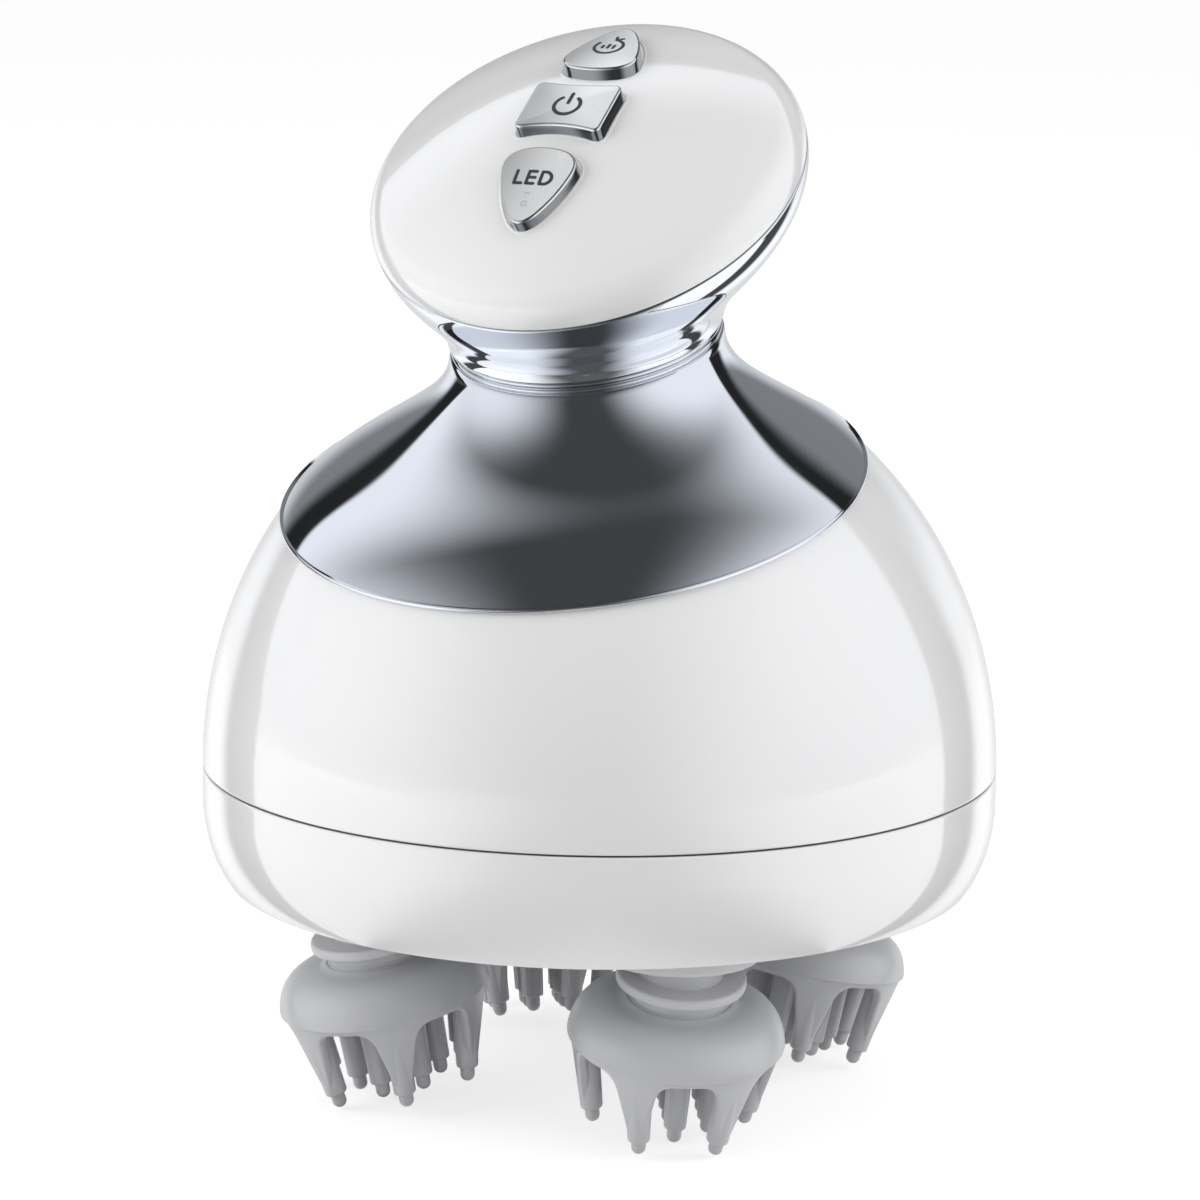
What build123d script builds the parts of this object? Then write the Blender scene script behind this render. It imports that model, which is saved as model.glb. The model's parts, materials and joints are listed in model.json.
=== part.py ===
from build123d import *
from math import acos, asin, atan2, cos, degrees, hypot, pi, radians, sin, sqrt, tan
import os

# Electric scalp massager: a domed body with a tilted knob, standing on four silicone claws.
# Millimetres, +Z up, z = 0 at the lowest finger tips, the body's axis on Z. The front, which is
# the low side of the knob and of the chrome skirt, faces -Y.

# ---------------------------------------------------------------- driving dimensions
# Clearances
running_gap = 0.05        # radial, shaft in hole
free_gap = 0.3            # between pieces that move past each other
seam_gap = 0.25           # round an inset plate or window

# Body shells
body_radius = 52.5
dome_rise = 56.2          # upright half-axis of the dome's ellipse above the seam
dome_top = 72.0           # height angle in degrees where the uncut dome ends
shell_wall = 2.2
belt_height = 4.0         # straight band of the lower shell under the seam
corner_run = 8.3          # half-axes of the lower shell's rounded corner
corner_drop = 13.9
lower_depth = 15.0        # seam to underside
lip_height = 2.0
lip_wall = 1.2
gasket_width = 1.0
gasket_height = 0.8

# Bottom plate and claw bosses
plate_radius = 46.6
plate_thick = 2.6
ledge_radius = 44.2
ledge_thick = 0.8
boss_radius = 10.2
boss_drop = 3.8           # underside to boss face
boss_collar = 0.8         # boss rim above the plate

# Screws and posts
screw_count = 4
post_circle = 42.5
post_radius = 3.5
rib_thick = 2.0
screw_shank = 1.4
screw_bite = 8.0          # thread length in the upper posts

# Chrome skirt, neck and knob, heights above the seam
skirt_height = 40.5       # skirt plane on the body's axis
skirt_tilt = 15.1
skirt_proud = 0.4
skirt_wall = 1.6
skirt_spigot = 3.0
spigot_gap = 1.0          # under the ideal opening, whose inner wall is in straight steps
neck_radius = 17.9
neck_height = 57.0
neck_forward = 5.3
neck_tilt = 17.0
neck_ring_thick = 1.6
neck_ring_width = 3.0
knob_radius = 28.8
knob_height = 77.4
knob_forward = 5.6
knob_tilt = 35.5
cap_rise = 10.4
cap_edge = 5.0            # radius of the cap's rounded edge
cap_wall = 1.8
bowl_wall = 1.6
skirt_front_pull = (6.3, 9.9)    # end tangents of the skirt's front line, in from the edge and up
skirt_back_pull = (6.0, 3.9)
skirt_neck_pull = 10.0           # how far the neck's upright tangent reaches down
bowl_neck_pull = (3.0, 10.0)     # upright tangents above the neck, front and back
bowl_rim_pull = (5.5, 10.0)      # tangents under the knob's rim, front and back

# Keys
square_width = 11.9       # middle key, across the row and along it
square_length = 9.4
square_hollows = (1.0, 0.4)      # hollow of its front and back sides
pick_width = 10.6         # outer keys
pick_length = 12.0
pick_bulge = 1.4
key_land = 2.7            # cap left between two keys
key_offset = 0.8          # middle key behind the cap's centre
key_proud = 1.5
key_travel = 0.4
key_corner = 1.0
key_bevel = 0.6
key_gap = 0.3
key_flange = 1.2          # how far the flange stands out
key_flange_depth = 3.2
key_flange_thick = 1.0
key_board_radius = 22.0
key_board_thick = 1.6
key_board_top = -0.6      # from the knob's parting plane
pillar_radius = 1.8
pillar_circle = 18.0
foot_width = 4.0
switch_size = 6.0
switch_height = 3.0
plunger_width = 2.4
plunger_height = 0.6
key_rest_gap = 0.7        # key foot above its plunger, more than the travel

# Claws: rim plane, cap and fingers, measured down the oblique pin
claw_count = 4
crank_circle = 31.0
pin_lean = 11.0           # degrees, top outwards
rim_drop = 6.6            # lean point to rim plane
rim_radius = 14.0
cap_height = 5.2          # rim plane to the collar
shoulder_radius = 9.4
claw_floor = 1.0          # rim plane to the underside of the cap
claw_sides = 24
leg_count = 6
leg_phase = 17.0          # first leg, round from the outward direction
leg_length = 12.5
leg_taper = 13.0          # degrees, outer legs close inwards
leg_web = 1.3
arch_top_width = 7.4
arch_foot_width = 10.4
arch_start = 1.2
finger_root = 1.75
finger_end = 1.0
tip_length = 2.1          # of the outer fingers beyond their webs
inner_circle = 5.4
finger_sides = 6

# Claw hub, oblique pin and crank
collar_radius = 6.6
collar_top = 0.6          # above the lean point
sleeve_radius = 5.6       # corners of the six-sided sleeve
sleeve_length = 2.8
pin_radius = 2.5
head_radius = 4.2         # corners of the pin's six-sided head
head_thick = 1.3
flange_radius = 8.35
flange_thick = 1.4
boss_to_lean = 4.2        # boss face above the lean point
journal_radius = 6.5
spigot_width = 6.4        # square spigot of the pin in the gear's journal
spigot_height = 6.0

# Gear train
sun_teeth = 20
crank_teeth = 16
pressure_angle = 20.0
gear_face = 4.3
tooth_share = 0.46        # tooth's share of its pitch
addendum = 0.92           # in modules
dedendum = 1.25
shaft_radius = 3.0
sun_hub_radius = 5.4

# Drive frame, gear motor, battery and boards
frame_thick = 2.2
frame_radius = 41.0
frame_gap = 2.0           # gear face to frame
gearhead_radius = 12.5
gearhead_height = 19.0
motor_radius = 12.2
motor_height = 27.0
motor_cap_radius = 5.0
motor_cap_height = 1.8
shaft_reach = 8.0         # shaft's length in the gearhead
standoff_radius = 2.2
tray_wall = 1.0
tray_depth = 5.0
battery_size = (44.0, 22.0, 8.0)
battery_inset = 14.6      # motor axis to the battery's near side
board_size = (28.0, 30.0, 1.6)
board_lift = 17.0         # board's underside above the frame
socket_size = (9.0, 8.4, 3.2)
socket_reach = 49.0       # socket's mouth from the body's axis
window_radius = 9.0
window_thick = 1.4
window_seat = 8.0
light_board_radius = 10.0
light_board_thick = 0.8
chip_size = 2.6
chip_height = 0.6
chip_circle = 5.0
chip_count = 6

# ---------------------------------------------------------------- shared helpers
UP = (Align.CENTER, Align.CENTER, Align.MIN)


def drum(radius, low, high):
    """Upright cylinder about Z between two heights."""
    return Pos(0, 0, low) * Cylinder(radius, high - low, align=UP)


def tube(outer, inner, low, high):
    return drum(outer, low, high) - drum(inner, low, high)


def turned(points):
    """Solid of revolution of a closed outline of (radius, height) points."""
    outline = Polyline(*[(r, 0, z) for r, z in points], close=True)
    return revolve(make_face(outline), Axis.Z)


def tapered(sections, sides):
    """Many-sided tapered solid through (radius, height) sections about Z."""
    return loft([Pos(0, 0, z) * RegularPolygon(r, sides) for r, z in sections], ruled=True)


def finger(start, finish, start_radius, finish_radius):
    """Tapered silicone finger between two points."""
    axis = Vector(*finish) - Vector(*start)
    ends = [Plane(origin=start, z_dir=axis) * RegularPolygon(start_radius, finger_sides),
            Plane(origin=finish, z_dir=axis) * RegularPolygon(finish_radius, finger_sides)]
    return loft(ends, ruled=True)


def around(shape, count, radius=0.0, phase=0.0):
    """Copies of a shape on a circle about Z, each turned with its place."""
    turns = [phase + 360.0 * k / count for k in range(count)]
    return [Rot(0, 0, turn) * Pos(radius, 0, 0) * shape for turn in turns]


def tilted_plane(forward, height, tilt):
    """Plane in the symmetry plane's fan: +Z of the plane leans to the front by the tilt."""
    lean = radians(tilt)
    return Plane(origin=(0, -forward, height), x_dir=(1, 0, 0), z_dir=(0, -sin(lean), cos(lean)))


def bezier(p0, p1, p2, p3, t):
    """Point of a cubic curve in the (y, z) symmetry plane."""
    weights = ((1 - t) ** 3, 3 * t * (1 - t) ** 2, 3 * t * t * (1 - t), t ** 3)
    return tuple(sum(w * p[i] for w, p in zip(weights, (p0, p1, p2, p3))) for i in (0, 1))


def fan_loft(front, back, inset, steps):
    """Loft through circles whose diameters join a front line to a back line."""
    rings = []
    for t in steps:
        fy, fz = bezier(*front, t)
        by, bz = bezier(*back, t)
        tilt = degrees(atan2(bz - fz, by - fy))
        plane = tilted_plane(-(fy + by) / 2, (fz + bz) / 2, tilt)
        rings.append(plane * Circle(hypot(by - fy, bz - fz) / 2 - inset))
    return loft(rings)


# ---------------------------------------------------------------- silicone claw and its hub
# Local frame: +Z up the oblique pin, z = 0 at the lean point.
rim_z = -rim_drop
collar_foot = rim_z + cap_height
sleeve_foot = collar_foot - sleeve_length
head_top = sleeve_foot - free_gap
head_foot = head_top - head_thick
socket_floor = head_foot - free_gap


def outer_leg_line(depth):
    """Radius of the legs' outer cone at a depth under the rim."""
    return rim_radius - depth * tan(radians(leg_taper))


def make_claw():
    """Domed cap, six T-section legs between arches, and an inner ring of fingers round a middle one."""
    floor = rim_z - claw_floor
    cap = tapered([
        (shoulder_radius, collar_foot), (rim_radius - 1.3, rim_z + 3.1), (rim_radius, rim_z),
        (outer_leg_line(claw_floor), floor)], claw_sides)
    socket = extrude(RegularPolygon(sleeve_radius, 6), collar_foot - socket_floor)
    cap -= Pos(0, 0, socket_floor) * socket
    web_depth = leg_length - tip_length
    foot_radius = outer_leg_line(web_depth)
    web_foot = rim_z - web_depth
    web = tapered([(rim_radius, rim_z), (foot_radius, web_foot)], claw_sides)
    web -= tapered([(rim_radius - leg_web, rim_z), (foot_radius - leg_web, web_foot)], claw_sides)
    arch = make_face(Polyline(
        (-arch_top_width / 2, 0), (arch_top_width / 2, 0), (arch_foot_width / 2, -leg_length),
        (-arch_foot_width / 2, -leg_length), close=True))
    opening = Pos(0, 0, rim_z - arch_start) * extrude(Plane.YZ * arch, rim_radius + 1)
    half_step = 180.0 / leg_count
    web -= around(opening, leg_count, 0, leg_phase + half_step)
    foot_z = rim_z - leg_length
    root = (rim_radius - finger_root - 0.3, 0, floor + 0.4)
    foot = (outer_leg_line(leg_length) - finger_end, 0, foot_z)
    outer = around(finger(root, foot, finger_root, finger_end), leg_count, 0, leg_phase)
    middle = finger((0, 0, floor + 0.4), (0, 0, foot_z), finger_root, finger_end)
    inner = around(middle, leg_count, inner_circle, leg_phase + half_step)
    return Part() + [cap, web, middle] + outer + inner


def make_hub():
    """Hard core of a claw: round collar above and a six-sided sleeve held in the silicone."""
    sleeve = extrude(RegularPolygon(sleeve_radius, 6), sleeve_length)
    hub = drum(collar_radius, collar_foot, collar_top) + Pos(0, 0, sleeve_foot) * sleeve
    return hub - drum(pin_radius + running_gap, sleeve_foot, collar_top)


claw_local = make_claw()
lean_z = -(Rot(0, pin_lean, 0) * claw_local).bounding_box().min.Z

# ---------------------------------------------------------------- heights that follow
boss_face = lean_z + boss_to_lean
underside = boss_face + boss_drop
seam = underside + lower_depth
plate_top = underside + plate_thick
ledge_top = plate_top + ledge_thick
collar_rim = plate_top + boss_collar
gear_low = collar_rim + free_gap
gear_high = gear_low + gear_face
frame_low = gear_high + frame_gap
frame_high = frame_low + frame_thick
board_low = frame_high + board_lift
board_high = board_low + board_size[2]
skirt_z = seam + skirt_height
neck_z = seam + neck_height
knob_z = seam + knob_height

skirt_plane = tilted_plane(0, skirt_z, skirt_tilt)
neck_plane = tilted_plane(neck_forward, neck_z, neck_tilt)
ring_plane = neck_plane.offset(neck_ring_thick)
knob_plane = tilted_plane(knob_forward, knob_z, knob_tilt)
tilt_frame = Pos(0, 0, lean_z) * Rot(0, pin_lean, 0)


def on_cranks(shape):
    """The four copies of a shape drawn about one crank axis, +X pointing outwards."""
    return around(shape, claw_count, crank_circle, 45.0)


# ---------------------------------------------------------------- body shells
def dome():
    """Solid dome above the seam under an ellipse's curve, flat where the skirt hides it."""
    steps = [radians(dome_top * k / 6) for k in range(7)]
    points = [(body_radius * cos(a), seam + dome_rise * sin(a)) for a in steps]
    end = (-body_radius * sin(steps[-1]), dome_rise * cos(steps[-1]))
    arc = Spline(*points, tangents=[(0, 1), end])
    outline = arc + Polyline(arc @ 1, (0, points[-1][1]), (0, seam), points[0])
    return revolve(Plane.XZ * make_face(outline), Axis.Z)


def lower_form():
    """Lower shell's outer form: straight belt over an elliptical corner that ends in a crisp edge."""
    middle = (body_radius - corner_run, seam - belt_height)
    reach = degrees(asin((lower_depth - belt_height) / corner_drop))
    arc = EllipticalCenterArc(middle, corner_run, corner_drop, -reach, arc_size=reach)
    edge = arc @ 0
    outline = arc + Polyline(
        arc @ 1, (body_radius, seam), (0, seam), (0, underside), (edge.X, underside))
    return revolve(Plane.XZ * make_face(outline), Axis.Z)


def dome_hollow():
    """Room inside the dome, its wall no thinner than the shell's; it reaches up to the skirt's cut."""
    radius = body_radius - shell_wall
    rise = dome_rise - shell_wall
    steps = [0, 4, 24, 42, 60]
    back_cut = skirt_cut(radius, rise)[1][1]
    over = degrees(asin(back_cut / rise)) - 1
    if over > steps[-1]:
        steps.append(over)
    wall = [(radius * cos(radians(a)), seam + rise * sin(radians(a))) for a in steps]
    return turned([(0, seam)] + wall + [(0, wall[-1][1])])


def skirt_cut(radius, rise):
    """Front and back points (y, z above the seam) where the skirt plane meets a dome."""
    slope = tan(radians(skirt_tilt))
    square = 1 / radius ** 2 + (slope / rise) ** 2
    half_linear = skirt_height * slope / rise ** 2
    root = sqrt(half_linear ** 2 - square * ((skirt_height / rise) ** 2 - 1))
    ends = ((-half_linear - root) / square, (-half_linear + root) / square)
    return [(y, skirt_height + slope * y) for y in ends]


def screw_posts(low, high, bore, rib_low):
    """Four bored posts, each with a web out to the middle of the shell's wall."""
    reach = body_radius - shell_wall / 2 - post_circle
    rib = Box(reach, rib_thick, high - rib_low, align=(Align.MIN, Align.CENTER, Align.MIN))
    post = drum(post_radius, low, high) + Pos(0, 0, rib_low) * rib - drum(bore, low, high)
    return around(post, screw_count, post_circle)


def make_upper_shell():
    """Dome cut by the skirt's plane, hollow, with screw posts and the charging socket's mouth."""
    shell = dome() - dome_hollow()
    keep = extrude(skirt_plane * Rectangle(3 * body_radius, 3 * body_radius), -2 * body_radius)
    over_lip = seam + lip_height + free_gap
    mouth = Box(socket_size[0] + 2 * free_gap, 3 * shell_wall, socket_size[2] + 2 * free_gap)
    mouth = Pos(0, socket_reach, board_high + socket_size[2] / 2) * mouth
    posts = screw_posts(frame_high, frame_high + screw_bite, screw_shank, over_lip)
    return (shell & keep) + posts - mouth


def make_lower_shell():
    """Ring of the body under the seam, with the ledge for the bottom plate, lip and screw posts."""
    wall_in = body_radius - shell_wall
    corner_in = body_radius - corner_run + 0.45 * corner_run
    shell = lower_form() - turned([
        (0, ledge_top), (corner_in, ledge_top), (wall_in, seam - belt_height), (wall_in, seam), (0, seam)])
    shell -= drum(plate_radius + seam_gap, underside, plate_top)
    shell -= drum(ledge_radius, plate_top, ledge_top)
    lip_outer = wall_in - free_gap
    lip = tube(lip_outer, lip_outer - lip_wall, seam - belt_height, seam + lip_height)
    lip += tube(wall_in + 0.1, lip_outer - 0.1, seam - belt_height, seam - gasket_height)
    posts = Part() + screw_posts(plate_top, frame_low, screw_shank + free_gap, plate_top)
    posts &= drum(corner_in + 0.5, plate_top, frame_low)
    return shell + lip + posts - gasket_ring(0)


def gasket_ring(clearance):
    middle = body_radius - shell_wall / 2
    outer = middle + gasket_width / 2 - clearance
    return tube(outer, outer - gasket_width + 2 * clearance, seam - gasket_height, seam)


def make_bottom_plate():
    """Inset plate with four round bosses, screw holes and the seat of the light window."""
    boss = tube(boss_radius, journal_radius + running_gap, boss_face, collar_rim)
    bores = on_cranks(drum(boss_radius - 1, underside, plate_top))
    holes = around(drum(screw_shank + free_gap, underside, plate_top), screw_count, post_circle)
    plate = drum(plate_radius, underside, plate_top) - bores - holes + on_cranks(boss)
    plate -= drum(window_seat, underside, plate_top)
    return plate - drum(window_radius, underside, underside + window_thick)


# ---------------------------------------------------------------- chrome skirt, neck and knob
def plane_ends(plane, radius):
    """Front and back points (y, z) of a circle about a plane's origin."""
    ends = [plane.from_local_coords((0, side * radius, 0)) for side in (-1, 1)]
    return [(end.Y, end.Z) for end in ends]


def skirt_lines():
    """Front and back outlines of the skirt, from the dome up to the neck."""
    (fy, fz), (by, bz) = skirt_cut(body_radius + skirt_proud, dome_rise + skirt_proud)
    front_top, back_top = plane_ends(neck_plane, neck_radius)
    fz += seam
    bz += seam
    front = ((fy, fz), (fy + skirt_front_pull[0], fz + skirt_front_pull[1]),
             (front_top[0], front_top[1] - skirt_neck_pull), front_top)
    back = ((by, bz), (by - skirt_back_pull[0], bz + skirt_back_pull[1]),
            (back_top[0], back_top[1] - 0.8 * skirt_neck_pull), back_top)
    return front, back


def bowl_lines():
    """Front and back outlines of the bowl, from the neck ring up to the knob's rim."""
    front_low, back_low = plane_ends(ring_plane, neck_radius)
    front_rim, back_rim = plane_ends(knob_plane, knob_radius)
    lines = []
    for low, rim, lift, reach in zip((front_low, back_low), (front_rim, back_rim),
                                     bowl_neck_pull, bowl_rim_pull):
        lean = radians(knob_tilt)
        under_rim = (rim[0] + reach * sin(lean), rim[1] - reach * cos(lean))
        lines.append((low, (low[0], low[1] + lift), under_rim, rim))
    return lines


skirt_steps = (0, 0.2, 0.4, 0.6, 0.8, 1)
bowl_steps = (0, 0.25, 0.5, 0.75, 1)


def make_neck_skirt():
    outer = fan_loft(*skirt_lines(), 0, skirt_steps)
    hollow = fan_loft(*skirt_lines(), skirt_wall, skirt_steps)
    (fy, fz), (by, bz) = skirt_cut(body_radius - shell_wall, dome_rise - shell_wall)
    fit_radius = hypot(by - fy, bz - fz) / 2 - spigot_gap
    seat = tilted_plane(-(fy + by) / 2, seam + (fz + bz) / 2, skirt_tilt)
    spigot = extrude(seat * (Circle(fit_radius) - Circle(fit_radius - skirt_wall)), -skirt_spigot)
    flange = extrude(seat * (Circle(body_radius) - Circle(fit_radius - skirt_wall)), skirt_wall)
    return outer - hollow + (flange & outer) + spigot


def make_neck_ring():
    """Narrow ring between the skirt and the bowl, a little smaller than the neck."""
    band = Circle(neck_radius - 0.4) - Circle(neck_radius - neck_ring_width)
    return extrude(neck_plane * band, neck_ring_thick)


def make_knob_bowl():
    lines = bowl_lines()
    return fan_loft(*lines, 0, bowl_steps) - fan_loft(*lines, bowl_wall, bowl_steps)


crown_radius = (knob_radius ** 2 + cap_rise ** 2 - 2 * knob_radius * cap_edge) / (2 * (cap_rise - cap_edge))


def cap_form(inset):
    """Lens of the cap on its parting plane, a crown arc running into a rounded edge; knob's own frame."""
    edge = cap_edge - inset
    crown = crown_radius - inset
    share = edge / (crown - edge)
    joint = ((knob_radius - cap_edge) * (1 + share), (crown_radius - cap_rise) * share)
    rim = TangentArc((knob_radius - inset, 0), joint, tangent=(0, 1))
    top = TangentArc(joint, (0, cap_rise - inset), tangent=rim % 1)
    outline = rim + top + Polyline(top @ 1, (0, 0), rim @ 0)
    return revolve(Plane.XZ * make_face(outline), Axis.Z)


# ---------------------------------------------------------------- keys
def square_key():
    """Rectangle with two straight sides and hollow front and back sides."""
    x, y = square_width / 2, square_length / 2
    front, back = square_hollows
    outline = ThreePointArc((-x, -y), (0, front - y), (x, -y)) + Line((x, -y), (x, y))
    outline += ThreePointArc((x, y), (0, y - back), (-x, y)) + Line((-x, y), (-x, -y))
    return make_face(outline)


def pick_key():
    """Rounded pick with its point to the front and its bulged base to the back."""
    x = pick_width / 2
    base = pick_length / 2 - pick_bulge
    tip = -pick_length / 2
    flank = (x * 0.66, tip * 0.36)
    nose = (x * 0.283, tip + x * 0.132)
    outline = ThreePointArc((x, base), (0, pick_length / 2), (-x, base))
    outline += ThreePointArc((-x, base), (-flank[0], flank[1]), (-nose[0], nose[1]))
    outline += ThreePointArc((-nose[0], nose[1]), (0, tip), nose)
    outline += ThreePointArc(nose, flank, (x, base))
    return make_face(outline)


def rounded(face, radius):
    """Outline with its sharp corners rounded."""
    return fillet(face.vertices(), radius)


key_pitch = (square_length + pick_length) / 2 + key_land

# Each key: outline, turn about its own axis, place along the row (towards the back).
key_row = {
    "led_button": (pick_key(), 0, key_offset - key_pitch),
    "power_button": (rounded(square_key(), key_corner), 0, key_offset),
    "mode_button": (pick_key(), 180, key_offset + key_pitch),
}


def cap_point(row):
    """Height of the cap over its parting plane and its slope in degrees, at a place in the key row."""
    height = cap_rise - crown_radius + sqrt(crown_radius ** 2 - row ** 2)
    return height, degrees(asin(row / crown_radius))


def key_frame(row):
    """Frame on the cap's surface in the knob's own frame, +Z along the cap's normal."""
    height, slope = cap_point(row)
    return Pos(0, row, height) * Rot(-slope, 0, 0)


def key_reach(row):
    """Depth of a key's foot under the cap's surface, so that its low edge clears the plunger."""
    height, slope = cap_point(row)
    room = height - key_board_top - switch_height - plunger_height - key_rest_gap
    return (room - foot_width / 2 * sin(abs(radians(slope)))) / cos(radians(slope))


def make_key(outline, turn, row):
    """Key with its bevelled face, the flange that retains it, and the foot over its switch."""
    face = Rot(0, 0, turn) * outline
    flange_foot = key_flange_depth + key_flange_thick
    body = extrude(Pos(0, 0, -flange_foot) * face, flange_foot + key_proud)
    body = chamfer(body.faces().sort_by(Axis.Z)[-1].edges(), key_bevel)
    flange = Rectangle(square_width + 2 * key_flange, square_length)
    flange = extrude(Pos(0, 0, -key_flange_depth) * flange, -key_flange_thick)
    foot = Pos(0, 0, -key_reach(row)) * Box(*[foot_width] * 2, key_reach(row) - flange_foot, align=UP)
    return Location(knob_plane) * key_frame(row) * (body + flange + foot)


def make_knob_cap():
    cap = cap_form(0) - cap_form(cap_wall)
    for outline, turn, row in key_row.values():
        hole = offset(Rot(0, 0, turn) * outline, key_gap)
        cap -= key_frame(row) * extrude(Pos(0, 0, -4 * cap_wall) * hole, 6 * cap_wall)
    pillar = drum(pillar_radius, key_board_top, cap_rise)
    pillars = Part() + around(pillar, 4, pillar_circle, 45)
    pillars &= cap_form(cap_wall / 2) + drum(pillar_circle + pillar_radius, key_board_top, 0)
    return Location(knob_plane) * (cap + pillars)


def make_key_board():
    board = drum(key_board_radius, key_board_top - key_board_thick, key_board_top)
    return Location(knob_plane) * board


def make_tact_switches():
    switches = []
    for outline, turn, row in key_row.values():
        body = Box(switch_size, switch_size, switch_height, align=UP)
        plunger = Box(plunger_width, plunger_width, plunger_height, align=UP)
        body += Pos(0, 0, switch_height) * plunger
        landing = row - key_reach(row) * sin(radians(cap_point(row)[1]))
        switches.append(Location(knob_plane) * Pos(0, landing, key_board_top) * body)
    return switches


# ---------------------------------------------------------------- gear train and cranks
gear_module = 2 * crank_circle / (sun_teeth + crank_teeth)


def gear_blank(teeth, first_tooth):
    """Outline of an external gear: involute flanks through root, pitch and tip circles."""
    pitch = teeth * gear_module / 2
    base = pitch * cos(radians(pressure_angle))
    radii = (pitch - dedendum * gear_module, pitch, pitch + addendum * gear_module)

    def unroll(radius):
        angle = acos(min(1, base / radius))
        return tan(angle) - angle

    def half_tooth(radius):
        return tooth_share * pi / teeth + unroll(pitch) - unroll(max(radius, base))

    points = []
    for k in range(teeth):
        middle = radians(first_tooth) + 2 * pi * k / teeth
        flank = [(r, middle - half_tooth(r)) for r in radii]
        flank += [(r, middle + half_tooth(r)) for r in reversed(radii)]
        points += [(r * cos(a), r * sin(a)) for r, a in flank]
    return make_face(Polyline(*points, close=True))


def make_sun_gear():
    """Middle gear, with a tooth gap towards each crank."""
    blank = gear_blank(sun_teeth, 45 + 180 / sun_teeth)
    gear = extrude(Pos(0, 0, gear_low) * blank, gear_face)
    gear += drum(sun_hub_radius, gear_high, gear_high + frame_gap - free_gap)
    return gear - drum(shaft_radius, gear_low, frame_low)


def spigot(clearance):
    """Square spigot of the pin, or the socket for it, up inside the gear's journal."""
    width = spigot_width + 2 * clearance
    low = boss_face - free_gap
    return Pos(0, 0, low) * Box(width, width, spigot_height + clearance, align=UP)


def make_crank_gear():
    """Gear over its journal, with a tooth towards the middle gear."""
    gear = extrude(Pos(0, 0, gear_low) * gear_blank(crank_teeth, 180), gear_face)
    return gear + drum(journal_radius, boss_face - free_gap, gear_low) - spigot(0)


def make_crank_pin():
    """Square spigot and shoulder on the crank's axis over a leaning flange, pin and six-sided head."""
    flange_low = collar_top + free_gap
    flange_high = flange_low + flange_thick
    head = Pos(0, 0, head_foot) * extrude(RegularPolygon(head_radius, 6), head_thick)
    leaning = drum(flange_radius, flange_low, flange_high) + drum(pin_radius, head_top, flange_low) + head
    shoulder = drum(journal_radius - 1, lean_z, boss_face - free_gap)
    shoulder &= tilt_frame * drum(3 * journal_radius, (flange_low + flange_high) / 2, 4 * boss_to_lean)
    return tilt_frame * leaning + shoulder + spigot(0)


# ---------------------------------------------------------------- drive frame and electrics
def board_standoffs():
    x = board_size[0] / 2 - standoff_radius
    near = gearhead_radius + standoff_radius + 1.5
    far = near + 0.65 * board_size[1]
    post = Box(2 * standoff_radius, 2 * standoff_radius, board_low - frame_high, align=UP)
    return [Pos(side * x, y, frame_high) * post for side in (-1, 1) for y in (near, far)]


def make_drive_frame():
    """Plate over the gears with four ears on the screw posts and posts for the main board."""
    frame = drum(frame_radius, frame_low, frame_high)
    frame += around(drum(post_radius, frame_low, frame_high), screw_count, post_circle)
    frame -= around(drum(screw_shank + free_gap, frame_low, frame_high), screw_count, post_circle)
    return frame - drum(shaft_radius + running_gap, frame_low, frame_high) + board_standoffs()


def make_gearhead():
    head = drum(gearhead_radius, frame_high, frame_high + gearhead_height)
    return head - drum(shaft_radius + running_gap, frame_high, frame_high + shaft_reach + free_gap)


def make_motor_can():
    low = frame_high + gearhead_height
    can = drum(motor_radius, low, low + motor_height)
    return can + drum(motor_cap_radius, low + motor_height, low + motor_height + motor_cap_height)


def make_drive_shaft():
    return drum(shaft_radius, gear_low, frame_high + shaft_reach)


def make_battery_tray():
    length, depth, height = battery_size
    outer = Box(length + 2 * tray_wall, depth + 2 * tray_wall, tray_depth, align=UP)
    inner = Box(length, depth, tray_depth, align=UP)
    tray = outer - Pos(0, 0, tray_wall) * inner
    return Pos(0, -battery_inset - depth / 2, frame_high) * tray


def make_battery():
    length, depth, height = battery_size
    cell = Box(length, depth, height, align=UP)
    return Pos(0, -battery_inset - depth / 2, frame_high + tray_wall) * cell


def make_main_board():
    width, depth, thick = board_size
    near = gearhead_radius + 1.5
    board = Box(width, depth, thick, align=(Align.CENTER, Align.MIN, Align.MIN))
    return Pos(0, near, board_low) * board


def make_charging_socket():
    """Flat-oval socket at the back, its mouth inside the shell's wall."""
    width, depth, height = socket_size
    face = SlotOverall(width, height)
    hollow = SlotOverall(width - 0.8, height - 0.8)
    body = extrude(face, depth) - extrude(Pos(0, 0, 1.2) * hollow, depth)
    tongue = Box(width - 3.0, 0.7, depth - 1.0, align=UP)
    back = Plane(origin=(0, socket_reach - depth, board_high + height / 2), x_dir=(1, 0, 0), z_dir=(0, 1, 0))
    return Location(back) * (body + tongue)


def make_light_board():
    return drum(light_board_radius, plate_top, plate_top + light_board_thick)


def make_light_chips():
    chip = Box(chip_size, chip_size, chip_height, align=UP)
    return around(Pos(0, 0, plate_top - chip_height) * chip, chip_count, chip_circle)


def make_light_window():
    return drum(window_radius - 0.05, underside, underside + window_thick)


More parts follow.
